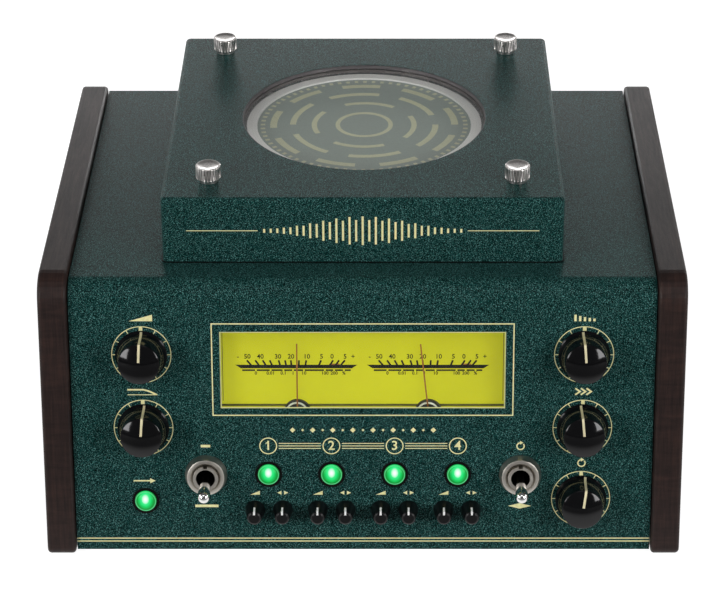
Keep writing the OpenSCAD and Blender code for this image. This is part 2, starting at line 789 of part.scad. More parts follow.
module spindle_bearing() color([0.7, 0.6, 0.35]) translate([0, drum_y, 0]) difference() {
  union() {
    translate([0, 0, plate_z]) cylinder(d = bearing_flange_d, h = bearing_flange_t);
    translate([0, 0, barrel_z]) cylinder(d = bearing_d, h = bearing_l + bearing_flange_t / 2);
  }
  translate([0, 0, barrel_z - over])
    cylinder(d = spindle_d + 2 * run_gap, h = bearing_l + bearing_flange_t + 2 * over);
}

// One head: a block whose flat face looks at the drum
module head(angle) {
  round_drum(angle) translate([head_r + head_d / 2, 0, head_z]) block(head_d, head_w, head_h);
}

module erase_head() color([0.75, 0.72, 0.66]) head(ERASE_AT);

module record_head() color([0.66, 0.67, 0.7]) head(RECORD_AT);

module playback_heads() color([0.72, 0.73, 0.75]) for (a = PLAYBACK_AT) head(a);

// Angle brackets carry the heads from behind
module head_brackets() color([0.55, 0.56, 0.57])
  for (a = concat([ERASE_AT, RECORD_AT], PLAYBACK_AT)) round_drum(a)
    translate([head_r + head_d, 0, plate_z]) {
      translate([bracket_t / 2, 0, 0]) block(bracket_t, head_w, head_z + head_h - plate_z);
      translate([bracket_foot / 2, 0, 0]) block(bracket_foot, head_w, bracket_t);
    }

module drive_motor() color([0.5, 0.5, 0.52]) translate([motor_offset, drum_y, motor_z])
  difference() {
    cylinder(d = motor_d, h = motor_h);
    translate([0, 0, -over])
      cylinder(d = motor_shaft_d + 2 * run_gap, h = motor_shaft_l + over + face_gap);
  }

// Flanged pulley whose belt seat has radius r
module pulley(r) {
  rim = (pulley_h - belt_w) / 2 - face_gap;
  cylinder(r = r, h = pulley_h);
  for (z = [0, pulley_h - rim]) translate([0, 0, z]) cylinder(r = r + pulley_flange, h = rim);
}

module motor_pulley() color([0.78, 0.66, 0.36]) translate([motor_offset, drum_y, pulley_z]) {
  pulley(motor_seat_r);
  cylinder(d = motor_shaft_d, h = pulley_h + motor_gap + motor_shaft_l);
}

// Outline of the belt's loop, grown by g beyond the pulleys' seats
function belt_loop(g) = let (a = acos((drum_seat_r - motor_seat_r) / motor_offset))
  concat(arc([0, 0], drum_seat_r + g, a, 360 - a, 36),
         arc([motor_offset, 0], motor_seat_r + g, -a, a, 24));

module drive_belt() color([0.1, 0.1, 0.1]) translate([0, drum_y, belt_z])
  linear_extrude(belt_w) difference() {
    polygon(belt_loop(face_gap + belt_t));
    polygon(belt_loop(face_gap));
  }

// Populated boards: the board with its tallest components standing on it
module main_board() color([0.1, 0.3, 0.16])
  translate([0, corner_y + main_front + main_d / 2, plate_top + stud_h]) {
    block(main_w, main_d, board_t);
    for (k = [-2:2]) translate([k * cap_pitch, -cap_row, board_t / 2])
      cylinder(d = cap_d, h = cap_h + board_t / 2);
    for (k = [-1:1]) translate([k * chip_pitch, chip_row, board_t / 2])
      block(chip_w, chip_d, chip_h + board_t / 2);
  }

module control_board() color([0.1, 0.3, 0.16])
  on_panel([0, (button_s + mini_s) / 2]) translate([0, 0, -board_depth - board_t])
    block(2 * board_half_w, mini_s - button_s + 2 * board_margin, board_t);

module pot_bodies() color([0.6, 0.6, 0.58]) for (k = KNOBS) on_panel(k) difference() {
  union() {
    translate([0, 0, -sheet_t - pot_can_t]) cylinder(d = pot_can_d, h = pot_can_t);
    translate([0, 0, -sheet_t - pot_can_t / 2])
      cylinder(d = pot_bush_d, h = sheet_t + pot_can_t / 2 + pot_bush_out);
  }
  translate([0, 0, -shaft_depth - face_gap])
    cylinder(d = shaft_d + 2 * run_gap, h = shaft_depth + pot_bush_out + over);
}

module mini_pots() color([0.14, 0.14, 0.15]) for (m = MINIS) on_panel(m) difference() {
  union() {
    translate([0, 0, -board_depth]) block(mini_pot_w, mini_pot_w, mini_pot_t);
    translate([0, 0, -board_depth + mini_pot_t / 2])
      cylinder(d = mini_collar_d, h = board_depth - sheet_t - mini_pot_t / 2);
  }
  translate([0, 0, -mini_stem_depth - face_gap])
    cylinder(d = mini_stem_d + 2 * run_gap, h = mini_stem_depth + over);
}

// Round nut with a conical side
module toggle_nut() difference() {
  cylinder(d1 = toggle_nut_d, d2 = toggle_nut_face_d, h = toggle_nut_t);
  translate([0, 0, -over]) cylinder(d = toggle_bush_d + 2 * hole_gap, h = toggle_nut_t + 2 * over);
}

module panel_nuts() color([0.78, 0.78, 0.76]) {
  for (t = TOGGLES) on_panel(t) toggle_nut();
  for (k = KNOBS) on_panel(k) hex_nut(pot_nut_w, pot_bush_d + 2 * hole_gap, pot_nut_t);
  for (b = concat(BUTTONS, [BYPASS])) on_panel(b) translate([0, 0, -sheet_t - button_nut_t])
    ring(button_nut_d, button_barrel_d + 2 * hole_gap, button_nut_t);
  for (x = JACKS) on_rear(x, jack_z) hex_nut(jack_nut_w, jack_bush_d + 2 * hole_gap, jack_nut_t);
}

// Bush and body of a toggle switch, with the lever's hole, the cross bore for its pin and a keyway
module toggle_bodies() color([0.74, 0.74, 0.72]) for (t = TOGGLES) on_panel(t) difference() {
  union() {
    translate([0, 0, -sheet_t - toggle_body_t]) block(toggle_body_w, toggle_body_l, toggle_body_t);
    translate([0, 0, -sheet_t - toggle_body_t / 2])
      cylinder(d = toggle_bush_d, h = sheet_t + toggle_body_t / 2 + toggle_bush_out);
  }
  translate([0, 0, -lever_hole_depth])
    cylinder(d = lever_hole_d, h = lever_hole_depth + toggle_bush_out + over);
  translate([0, 0, toggle_pivot_h]) rotate([0, 90, 0])
    cylinder(d = lever_pin_d + 2 * run_gap, h = pin_bore_l, center = true);
  translate([-toggle_key_w / 2, toggle_bush_d / 2 - toggle_key_depth, 0])
    cube([toggle_key_w, over, toggle_bush_out + over]);
}

// A lever with its pin across the hinge line, tilted down at rest
module toggle_lever(at) color([0.8, 0.8, 0.8]) on_panel(at) translate([0, 0, toggle_pivot_h])
  rotate([lever_tilt, 0, 0]) {
    cylinder(d1 = lever_root_d, d2 = lever_tip_d, h = lever_len);
    translate([0, 0, lever_len]) sphere(d = lever_tip_d);
    translate([0, 0, -lever_tail]) cylinder(d = lever_root_d, h = lever_tail + lever_pin_d);
    rotate([0, 90, 0]) cylinder(d = lever_pin_d, h = pin_bore_l - 2 * face_gap, center = true);
  }

module button_housings() color([0.06, 0.06, 0.06]) for (b = concat(BUTTONS, [BYPASS])) on_panel(b)
  difference() {
    union() {
      cylinder(d = button_bezel_d, h = button_bezel_t);
      translate([0, 0, -board_depth]) cylinder(d = button_barrel_d, h = board_depth + button_bezel_t / 2);
    }
    translate([0, 0, -button_cap_depth - button_travel - face_gap])
      cylinder(d = button_cap_d + 2 * button_gap, h = board_depth);
  }

// Lens cap: a short barrel under a shallow dome
module button_cap(at) color([0.1, 0.9, 0.35]) on_panel(at) {
  dome_r = (pow(button_cap_d / 2, 2) + pow(button_dome, 2)) / (2 * button_dome);
  translate([0, 0, -button_cap_depth]) cylinder(d = button_cap_d, h = button_cap_depth + button_rim_out);
  intersection() {
    cylinder(d = button_cap_d, h = button_rim_out + button_dome + over);
    translate([0, 0, button_rim_out + button_dome - dome_r]) sphere(dome_r);
  }
}

// Block in the meter's frame that spans the lens flange and the chin, made smaller by inset
module meter_block(inset, low, high) {
  w = meter_w + 2 * lens_flange - 2 * inset;
  top = meter_h / 2 + lens_flange - inset;
  bottom = -meter_h / 2 - meter_chin + inset;
  translate([-w / 2, bottom, low]) cube([w, top - bottom, high - low]);
}

module at_meter() {
  on_panel([0, meter_mid]) children();
}

module meter_housing() color([0.12, 0.12, 0.12]) at_meter() difference() {
  union() {
    difference() {
      meter_block(0, meter_back, lens_back);
      meter_block(meter_wall, dial_back, lens_back + over);
      meter_block(2 * meter_wall, meter_back + meter_wall, lens_back + over);
    }
    for (side = [-1, 1]) translate([side * needle_x, pivot_y, meter_back + meter_wall / 2])
      cylinder(d = coil_d, h = coil_front - meter_back - meter_wall / 2);
  }
  for (side = [-1, 1]) translate([side * needle_x, pivot_y, dial_back - needle_pin_l - face_gap])
    cylinder(d = needle_pin_d + 2 * run_gap, h = 4 * over);
}

module meter_dial() color([0.85, 0.85, 0.2]) at_meter() difference() {
  meter_block(meter_wall + plate_gap, dial_back, dial_front);
  for (side = [-1, 1]) translate([side * needle_x, pivot_y, dial_back - over])
    cylinder(d = coil_d + 2 * hole_gap, h = 3 * over);
}

module meter_window() color([0.9, 0.95, 0.9, 0.4]) at_meter() {
  meter_block(0, lens_back, -sheet_t);
  translate([0, 0, -sheet_t - lens_t / 2])
    block(meter_w - 2 * lens_gap, meter_h - 2 * lens_gap, sheet_t + lens_t / 2 - lens_recess);
}

module needle(side, rest) color([0.8, 0.2, 0.05]) at_meter()
  translate([side * needle_x, pivot_y, needle_level]) rotate([0, 0, -rest]) {
    translate([-needle_w / 2, 0, 0]) cube([needle_w, needle_len, needle_t]);
    translate([0, 0, -needle_t]) cylinder(d = needle_hub_d, h = 2 * needle_t);
    translate([0, 0, dial_back - needle_pin_l - needle_level])
      cylinder(d = needle_pin_d, h = needle_level - dial_back + needle_pin_l);
  }

module left_needle() needle(-1, 0);

module right_needle() needle(1, right_needle_rest);

module audio_jacks() color([0.16, 0.16, 0.17]) for (x = JACKS) on_rear(x, jack_z) difference() {
  union() {
    translate([0, 0, -rear_t - jack_body_l]) block(jack_body_w, jack_body_w, jack_body_l);
    translate([0, 0, -rear_t - jack_body_l / 2])
      cylinder(d = jack_bush_d, h = rear_t + jack_body_l / 2 + jack_out);
  }
  translate([0, 0, jack_out - jack_bore_depth]) cylinder(d = jack_bore_d, h = jack_bore_depth + over);
}

module dc_socket() color([0.1, 0.1, 0.1]) on_rear(dc_x, jack_z) {
  difference() {
    union() {
      cylinder(d = dc_flange_d, h = dc_flange_t);
      translate([0, 0, -rear_t - dc_body_l])
        cylinder(d = dc_barrel_d, h = rear_t + dc_body_l + dc_flange_t / 2);
    }
    translate([0, 0, dc_flange_t - dc_depth]) cylinder(d = dc_bore_d, h = dc_depth + over);
  }
  translate([0, 0, dc_flange_t - dc_depth - dc_pin_back]) cylinder(d = dc_pin_d, h = dc_depth);
}

module cover_posts() color([0.7, 0.7, 0.7]) for (p = THUMBS) translate([p[0], p[1], plate_z])
  ring(post_d, thumb_shank_d + 2 * thumb_gap, cover_under - cover_gap - plate_z);

// The cover is a box of folded sheet, open below. It spans one turned post with a rounded edge per corner.
module cover_corner() rotate_extrude($fn = hull_fn) polygon(concat(
  [[0, 0], [cover_corner_r, 0]],
  arc([cover_corner_r - cover_edge_r, cover_h - cover_edge_r], cover_edge_r, 0, 90, edge_steps),
  [[0, cover_h]]));

module cover_shape() hull() for (fx = [-1, 1], fy = [-1, 1])
  translate([fx * (cover_w / 2 - cover_corner_r), fy * (cover_d / 2 - cover_corner_r), 0]) cover_corner();

module drum_cover() color([0.1, 0.25, 0.23]) difference() {
  translate([0, cover_y, deck_z]) cover_shape();
  translate([0, cover_y, deck_z - over])
    block(cover_w - 2 * cover_t, cover_d - 2 * cover_t, cover_h - cover_t + over);
  translate([0, drum_y, cover_under - over]) cylinder(r = window_r, h = 2 * over + cover_t);
  for (p = THUMBS) translate([p[0], p[1], cover_under - over])
    cylinder(d = thumb_shank_d + 2 * hole_gap, h = 2 * over + cover_t);
}

module window_pane() color([0.85, 0.9, 0.88, 0.35])
  translate([0, drum_y, cover_under - pane_t]) cylinder(r = window_r + pane_lap, h = pane_t);

module thumbscrew(at) color([0.75, 0.75, 0.74]) translate([at[0], at[1], cover_top + face_gap]) {
  collar_top = thumb_collar_h;
  rotate_extrude() polygon([
    [0, -thumb_shank_l], [thumb_shank_d / 2, -thumb_shank_l], [thumb_shank_d / 2, 0],
    [thumb_collar_d / 2, 0], [thumb_collar_d / 2, collar_top],
    [thumb_d / 2 - thumb_bevel, collar_top], [thumb_d / 2, collar_top + thumb_bevel],
    [thumb_d / 2, collar_top + thumb_h - thumb_bevel / 2],
    [thumb_d / 2 - thumb_bevel / 2, collar_top + thumb_h], [0, collar_top + thumb_h]]);
}

// Drum wheel with a seat for the disc and a hub boss over the bearing
module drum_wheel() color([0.75, 0.76, 0.77]) translate([0, drum_y, 0]) rotate_extrude() polygon([
  [spindle_d / 2 + press_gap, hub_z], [drum_hub_d / 2, hub_z], [drum_hub_d / 2, wheel_z],
  [drum_r, wheel_z], [drum_r, rim_z], [drum_r - rim_w, rim_z], [drum_r - rim_w, seat_z],
  [spindle_d / 2 + press_gap, seat_z]]);

module drum_disc() color([0.38, 0.43, 0.4])
  translate([0, drum_y, seat_z]) cylinder(r = drum_r - rim_w - hole_gap, h = disc_t);

// Spindle with its belt pulley and the collar that stops it under the bearing
module drum_spindle() color([0.62, 0.63, 0.65]) translate([0, drum_y, 0]) {
  translate([0, 0, pulley_z]) {
    cylinder(d = spindle_d, h = seat_z - pulley_z);
    pulley(drum_seat_r);
    cylinder(d = spindle_collar_d, h = barrel_z - face_gap - pulley_z);
  }
}

// Side of a large knob from its skirt to the middle of its dome, moved inwards by an inset
function knob_side(inset) =
  let (waist_r = knob_waist_d / 2, rim_r = knob_face_d / 2,
       flare_r = (knob_base_d / 2 - waist_r) / (1 - cos(knob_flare_turn)),
       waist_z = knob_lift + knob_skirt_t + flare_r * sin(knob_flare_turn),
       dome_r = (rim_r * rim_r + knob_dome * knob_dome) / (2 * knob_dome),
       dome_turn = asin(rim_r / dome_r))
  concat(
    [for (k = [flare_steps:-1:0]) let (lean = knob_flare_turn * k / flare_steps)
      [waist_r + flare_r - (flare_r + inset) * cos(lean), waist_z - (flare_r + inset) * sin(lean)]],
    [for (k = [dome_steps:-1:0]) let (lean = dome_turn * k / dome_steps)
      [(dome_r - inset) * sin(lean), knob_h - dome_r + (dome_r - inset) * cos(lean)]]);

// Flared knob on its shaft, with a domed face and a pointer groove, hollow below to clear the nut
module large_knob(k) color([0.03, 0.03, 0.035]) on_panel(k) rotate([0, 0, -k[2]]) {
  hollow_top = pot_bush_out + face_gap;
  skirt_z = knob_lift + knob_skirt_t;
  groove = knob_side(pointer_depth);
  difference() {
    rotate_extrude() polygon(concat(
      [[knob_hollow_d / 2, knob_lift], [knob_skirt_d / 2, knob_lift], [knob_skirt_d / 2, skirt_z]],
      knob_side(0),
      [[0, -shaft_depth], [shaft_d / 2, -shaft_depth], [shaft_d / 2, hollow_top],
       [knob_hollow_d / 2, hollow_top]]));
    difference() {
      translate([-pointer_w / 2, 0, skirt_z]) cube([pointer_w, knob_skirt_d, knob_h]);
      rotate_extrude() polygon(concat([[0, 0], [groove[0][0], 0]], groove));
    }
  }
}

module gain_knob() large_knob(KNOBS[0]);

module tone_knob() large_knob(KNOBS[1]);

module echo_knob() large_knob(KNOBS[2]);

module speed_knob() large_knob(KNOBS[3]);

module repeat_knob() large_knob(KNOBS[4]);

// Small knob on its stem, with a pointer groove along its upper side and onto its face
module small_knob(at) color([0.05, 0.05, 0.055]) on_panel(at) difference() {
  rotate_extrude() polygon([
    [0, -mini_stem_depth], [mini_stem_d / 2, -mini_stem_depth], [mini_stem_d / 2, mini_lift],
    [mini_base_d / 2, mini_lift], [mini_face_d / 2 + mini_bevel / 4, mini_h - mini_bevel],
    [mini_face_d / 2 - mini_bevel, mini_h], [0, mini_h]]);
  translate([-mini_pointer_w / 2, mini_face_d / 2 - pointer_depth, mini_h - mini_pointer_l])
    cube([mini_pointer_w, mini_base_d, mini_h]);
  translate([-mini_pointer_w / 2, mini_face_d / 2 - mini_bevel - mini_pointer_face, mini_h - pointer_depth])
    cube([mini_pointer_w, mini_base_d, mini_h]);
}

chassis_shell();
base_plate();
rear_panel();
left_cheek();
right_cheek();
rubber_feet();
housing_screws();
drum_deck();
spindle_bearing();
head_brackets();
erase_head();
record_head();
playback_heads();
drive_motor();
drive_belt();
main_board();
control_board();
pot_bodies();
mini_pots();
panel_nuts();
toggle_bodies();
button_housings();
meter_housing();
meter_dial();
meter_window();
audio_jacks();
dc_socket();
cover_posts();
drum_cover();
window_pane();
drum_wheel();
drum_disc();
drum_spindle();
motor_pulley();
gain_knob();
tone_knob();
echo_knob();
speed_knob();
repeat_knob();
toggle_lever(TOGGLES[0]);  // left_toggle_lever
toggle_lever(TOGGLES[1]);  // right_toggle_lever
button_cap(BYPASS);  // bypass_button
left_needle();
right_needle();
for (k = [0:3]) thumbscrew(THUMBS[k]);
for (k = [0:7]) small_knob(MINIS[k]);
for (k = [0:3]) button_cap(BUTTONS[k]);
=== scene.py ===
"""Dresses a table-top drum echo unit in its finishes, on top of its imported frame. Lengths are in metres."""
import json
import math

import bmesh
import bpy
from mathutils import Matrix, Vector


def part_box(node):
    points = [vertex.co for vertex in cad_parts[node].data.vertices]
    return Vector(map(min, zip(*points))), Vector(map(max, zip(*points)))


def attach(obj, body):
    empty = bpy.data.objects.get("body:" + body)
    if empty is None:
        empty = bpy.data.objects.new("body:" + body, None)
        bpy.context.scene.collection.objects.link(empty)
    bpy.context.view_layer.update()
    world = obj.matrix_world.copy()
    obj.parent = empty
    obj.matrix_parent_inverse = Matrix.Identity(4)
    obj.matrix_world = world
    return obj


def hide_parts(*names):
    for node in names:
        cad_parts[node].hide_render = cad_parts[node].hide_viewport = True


bpy.ops.wm.read_factory_settings(use_empty=True)
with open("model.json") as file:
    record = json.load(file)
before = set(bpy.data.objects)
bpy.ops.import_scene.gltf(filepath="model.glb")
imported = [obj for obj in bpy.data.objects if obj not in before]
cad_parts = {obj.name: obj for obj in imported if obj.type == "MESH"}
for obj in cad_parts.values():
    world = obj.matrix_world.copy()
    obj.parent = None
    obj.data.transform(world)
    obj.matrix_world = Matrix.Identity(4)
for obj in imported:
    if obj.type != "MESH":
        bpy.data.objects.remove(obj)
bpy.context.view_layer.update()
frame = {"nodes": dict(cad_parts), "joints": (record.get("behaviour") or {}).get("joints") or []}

MM = 0.001
JOINTS = {joint["name"]: joint for joint in frame["joints"]}
POINTS = {name: Vector(joint["pos_m"]) for name, joint in JOINTS.items() if "pos_m" in joint}
NODES = frame["nodes"]

# The front panel's own axes: right, up its slope and out of its face
OUT = -Vector(JOINTS["gain_turn"]["axis"])
RIGHT = Vector((1, 0, 0))
UP = OUT.cross(RIGHT)
PANEL_TURN = Matrix((RIGHT, UP, OUT)).transposed().to_4x4()

# The corner line above the panel, from the row of the gain knob below it
GAIN_ROW = 34.2 * MM
CORNER = Vector((0, *POINTS["gain_turn"].yz)) + UP * GAIN_ROW

LARGE_KNOBS = ["gain", "tone", "echo", "speed", "repeat"]
SMALL_KNOBS = [f"{kind}_knob_{k}" for k in range(1, 5) for kind in ("volume", "balance")]
HEAD_BUTTONS = [f"head_button_{k}" for k in range(1, 5)]
BUTTONS = HEAD_BUTTONS + ["bypass_button"]
THUMBSCREWS = [f"thumbscrew_{end}_{side}" for end in ("front", "rear") for side in ("left", "right")]
SIDES = ["left", "right"]

# Printed ink lies on its surface, with its lower side sunk a little
INK_LOW = -0.02 * MM
INK_HIGH = 0.04 * MM
THIN_LINE = 0.38 * MM
BORDER_LINE = 0.55 * MM


def on_panel(x, up, out=0.0):
    """Place on the front panel, with up counted from the corner line."""
    return Matrix.Translation(CORNER + RIGHT * x + UP * up + OUT * out) @ PANEL_TURN


def at_joint(name, up=0.0):
    """Place of a joint on the panel, or above it, with the panel's axes."""
    return Matrix.Translation(POINTS[name]) @ PANEL_TURN @ Matrix.Translation((0, up, 0))


def panel_span(node):
    """Lowest and highest corner of a node along the panel's axes, from the corner line."""
    places = [vertex.co - CORNER for vertex in NODES[node].data.vertices]
    spans = [[place.dot(axis) for place in places] for axis in (RIGHT, UP, OUT)]
    return Vector([min(span) for span in spans]), Vector([max(span) for span in spans])


def panel_middle(node):
    """Middle of a node on the panel, as distance right and up the slope."""
    low, high = panel_span(node)
    return (low.x + high.x) / 2, (low.y + high.y) / 2


def rest_angle(joint):
    """Clockwise angle of a knob's pointer at rest, in radians, from its range about the middle."""
    low, high = JOINTS[joint]["range_deg"]
    return -math.radians(low + high) / 2


# Shapes

# A radius below this is a point on the axis
ON_AXIS = 1e-7
# A corner straighter than this stays as it is
STRAIGHT = math.radians(89)
# Limits how far a band's mitre reaches in a sharp corner
SHARPEST = 0.3
# Height of the font's figures at size 1
FIGURE_HEIGHT = 0.7
# Edges flatter than this are shaded smooth
SMOOTH_BELOW = math.radians(35)
# Steps round a turned shape, by its size, and along smaller curves
STEPS_FEW = 64
STEPS = 96
STEPS_MANY = 128
STEPS_MOST = 160
ARC_STEPS = 24
FILLET_STEPS = 5
CORNER_STEPS = 8
FIGURE_STEPS = 3


def in_mm(points):
    """Points given in millimetres."""
    return [(x * MM, y * MM) for x, y in points]


def circle_points(r, start, end, steps):
    """Points of an arc round the origin, end included."""
    angles = [start + (end - start) * k / steps for k in range(steps + 1)]
    return [(r * math.cos(a), r * math.sin(a)) for a in angles]


def filleted(points, radii):
    """A line of points whose inner corners are rounded by the given radii."""
    rounded = [points[0]]
    for before, corner, after, r in zip(points, points[1:], points[2:], radii):
        at, a, b = Vector(corner), Vector(before), Vector(after)
        to_a, to_b = (a - at).normalized(), (b - at).normalized()
        half = to_a.angle(to_b) / 2
        if r <= 0 or half > STRAIGHT:
            rounded.append(corner)
            continue
        reach = r / math.tan(half)
        centre = at + (to_a + to_b).normalized() * r / math.sin(half)
        first, last = at + to_a * reach - centre, at + to_b * reach - centre
        for k in range(FILLET_STEPS + 1):
            rounded.append(tuple(centre + first.lerp(last, k / FILLET_STEPS).normalized() * r))
    return rounded + [points[-1]]


def add_lathe(mesh, profile, steps, place=Matrix(), radius_at=None, closed=False):
    """Adds a turned shape from radii and heights. A radius_at function may change the radius by angle."""
    rings = []
    for r, z in profile:
        count = 1 if r < ON_AXIS else steps
        ring = []
        for k in range(count):
            angle = 2 * math.pi * k / steps
            radius = radius_at(r, z, angle) if radius_at and count > 1 else r
            corner = Vector((radius * math.cos(angle), radius * math.sin(angle), z))
            ring.append(mesh.verts.new(place @ corner))
        rings.append(ring)
    pairs = list(zip(rings, rings[1:]))
    if closed:
        pairs.append((rings[-1], rings[0]))
    for lower, upper in pairs:
        for k in range(steps):
            corners = [lower[k % len(lower)], lower[(k + 1) % len(lower)],
                       upper[(k + 1) % len(upper)], upper[k % len(upper)]]
            corners = list(dict.fromkeys(corners))
            if len(corners) > 2:
                mesh.faces.new(corners)


def add_plate(mesh, outline, place, high=INK_HIGH):
    """Adds a flat print with this outline."""
    bottom = [mesh.verts.new(place @ Vector((x, y, INK_LOW))) for x, y in outline]
    top = [mesh.verts.new(place @ Vector((x, y, high))) for x, y in outline]
    mesh.faces.new(top)
    mesh.faces.new(bottom[::-1])
    count = len(outline)
    for k in range(count):
        n = (k + 1) % count
        mesh.faces.new([bottom[k], bottom[n], top[n], top[k]])


def add_ring(mesh, r, width, place, low=INK_LOW, high=INK_HIGH, steps=STEPS):
    """Adds a flat ring whose middle line has radius r."""
    inner, outer = r - width / 2, r + width / 2
    profile = [(inner, low), (outer, low), (outer, high), (inner, high)]
    add_lathe(mesh, profile, steps, place, closed=True)


def band(points, width):
    """Outline of a line of even width through the points, with its corners mitred."""
    points = [Vector(p) for p in points]
    left, right = [], []
    for k, at in enumerate(points):
        ahead = (points[min(k + 1, len(points) - 1)] - points[k]).normalized()
        behind = (points[k] - points[max(k - 1, 0)]).normalized()
        along = (ahead + behind).normalized()
        across = Vector((-along.y, along.x))
        square = ahead if ahead.length > 0 else behind
        reach = width / 2 / max(SHARPEST, abs(across.dot(Vector((-square.y, square.x)))))
        left.append(tuple(at + across * reach))
        right.append(tuple(at - across * reach))
    return left + right[::-1]


def bar(x, y, width, height):
    """Outline of an upright rectangle round its middle."""
    return [(x - width / 2, y - height / 2), (x + width / 2, y - height / 2),
            (x + width / 2, y + height / 2), (x - width / 2, y + height / 2)]


def add_object(name, data):
    """Puts a new object into the scene."""
    made = bpy.data.objects.new(name, data)
    bpy.context.scene.collection.objects.link(made)
    return made


def add_text(mesh, text, size, place, weight):
    """Adds figures of the given height, centred on their place, with strokes thickened by the weight."""
    curve = bpy.data.curves.new("figures", "FONT")
    curve.body = text
    curve.size = size / FIGURE_HEIGHT
    curve.align_x = "CENTER"
    curve.align_y = "CENTER"
    curve.extrude = (INK_HIGH - INK_LOW) / 2
    curve.offset = weight
    curve.resolution_u = FIGURE_STEPS
    holder = add_object("figures", curve)
    bpy.context.view_layer.update()
    shaped = holder.evaluated_get(bpy.context.evaluated_depsgraph_get())
    figures = bpy.data.meshes.new_from_object(shaped)
    figures.transform(place @ Matrix.Translation((0, 0, (INK_LOW + INK_HIGH) / 2)))
    mesh.from_mesh(figures)
    bpy.data.objects.remove(holder)
    bpy.data.curves.remove(curve)
    bpy.data.meshes.remove(figures)


def mesh_object(name, mesh, material):
    """Turns a finished mesh into an object."""
    data = bpy.data.meshes.new(name)
    mesh.to_mesh(data)
    mesh.free()
    data.materials.append(material)
    return add_object(name, data)


def make_piece(name, mesh, body, material, place=Matrix(), replaces=()):
    """Turns a finished mesh into a named piece that rides on a body."""
    bmesh.ops.recalc_face_normals(mesh, faces=mesh.faces)
    piece = mesh_object(name, mesh, material)
    piece.data.shade_smooth()
    piece.data.set_sharp_from_angle(angle=SMOOTH_BELOW)
    piece.matrix_world = place
    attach(piece, body)
    if replaces:
        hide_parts(*replaces)


# Materials

def shade(color, share):
    """A colour made darker or lighter."""
    return tuple(min(1, c * share) for c in color)


class Nodes:
    """A node tree under construction, with short calls for what it needs."""

    def __init__(self, tree):
        self.tree = tree

    def feed(self, socket, source):
        """Links an output to a socket, or sets a plain value or a colour on it."""
        if isinstance(source, bpy.types.NodeSocket):
            self.tree.links.new(source, socket)
        elif socket.type == "RGBA":
            socket.default_value = (*source[:3], 1)
        else:
            socket.default_value = source

    def add(self, kind, links=None, **settings):
        node = self.tree.nodes.new(kind)
        for key, value in settings.items():
            setattr(node, key, value)
        for socket, source in (links or {}).items():
            self.feed(node.inputs[socket], source)
        return node

    def math(self, operation, first, second):
        return self.add("ShaderNodeMath", {0: first, 1: second}, operation=operation).outputs[0]

    def fade(self, value, low, high):
        """A factor that rises smoothly from 0 to 1 while the value goes from low to high."""
        links = {"Value": value, "From Min": low, "From Max": high}
        return self.add("ShaderNodeMapRange", links, interpolation_type="SMOOTHSTEP").outputs["Result"]

    def part(self, output, axis):
        """One part, X, Y or Z, of a texture coordinate."""
        coordinates = self.add("ShaderNodeTexCoord").outputs[output]
        return self.add("ShaderNodeSeparateXYZ", {0: coordinates}).outputs[axis]

    def show(self, output, factor, first, second):
        """Shows the first shader, and the second where the factor is 1."""
        mixed = self.add("ShaderNodeMixShader", {0: factor, 1: first, 2: second})
        self.feed(self.tree.nodes[output].inputs["Surface"], mixed.outputs[0])

    def ray(self, kind):
        return self.add("ShaderNodeLightPath").outputs[kind]

    def seen(self):
        """A factor that is 1 for rays that show a background: from the camera, in gloss and through glass."""
        straight = self.math("MAXIMUM", self.ray("Is Camera Ray"), self.ray("Is Glossy Ray"))
        return self.math("MAXIMUM", straight, self.ray("Is Transmission Ray"))


class Finish(Nodes):
    """A material under construction, round its one shader."""

    def __init__(self, name, color, roughness, metallic=0.0, **sockets):
        self.material = bpy.data.materials.new(name)
        self.material.use_nodes = True
        super().__init__(self.material.node_tree)
        self.shader = self.tree.nodes["Principled BSDF"]
        self.wire(color, "Base Color")
        self.wire(roughness, "Roughness")
        self.wire(metallic, "Metallic")
        for socket, value in sockets.items():
            self.wire(value, socket.replace("_", " "))

    def wire(self, source, socket):
        """Links an output to a socket of the shader, or sets a value on it."""
        self.feed(self.shader.inputs[socket], source)

    def places(self, stretch=(1, 1, 1), shift=(0, 0, 0), turn=(0, 0, 0)):
        """Places on the piece, stretched along its axes, shifted and turned."""
        coordinates = self.add("ShaderNodeTexCoord").outputs["Object"]
        links = {"Vector": coordinates, "Scale": stretch, "Location": shift, "Rotation": turn}
        return self.add("ShaderNodeMapping", links).outputs["Vector"]

    def noise(self, scale, detail, stretch=(1, 1, 1), rough=0.5, warp=0.0, turn=(0, 0, 0)):
        links = {"Vector": self.places(stretch, turn=turn), "Scale": scale, "Detail": detail,
                 "Roughness": rough, "Distortion": warp}
        return self.add("ShaderNodeTexNoise", links).outputs["Fac"]

    def length(self, vector):
        return self.add("ShaderNodeVectorMath", {"Vector": vector}, operation="LENGTH").outputs["Value"]

    def ramp(self, factor, stops):
        """Colours along a factor. A stop holds a position and a grey or a colour."""
        node = self.add("ShaderNodeValToRGB", {"Fac": factor})
        elements = node.color_ramp.elements
        while len(elements) < len(stops):
            elements.new(0.5)
        for element, (position, color) in zip(elements, stops):
            element.position = position
            element.color = (*color, 1) if isinstance(color, tuple) else (color, color, color, 1)
        return node.outputs["Color"]

    def mix(self, factor, first, second):
        return self.add("ShaderNodeMix", {0: factor, 6: first, 7: second}, data_type="RGBA").outputs[2]

    def bump(self, height, strength, distance):
        node = self.add("ShaderNodeBump", {"Height": height, "Strength": strength, "Distance": distance})
        self.wire(node.outputs["Normal"], "Normal")


# The coat's grain is turned off the part's axes, so that each face cuts it alike
COAT_TURN = (0.5, 0.7, 0.3)
# The lit buttons' lens, and how far its lamp sits above its middle
LENS_R = 5 * MM
LAMP_RISE = 1.5 * MM
# The spot's share of the lens, across and up
SPOT_STRETCH = (1.2, 0.9)


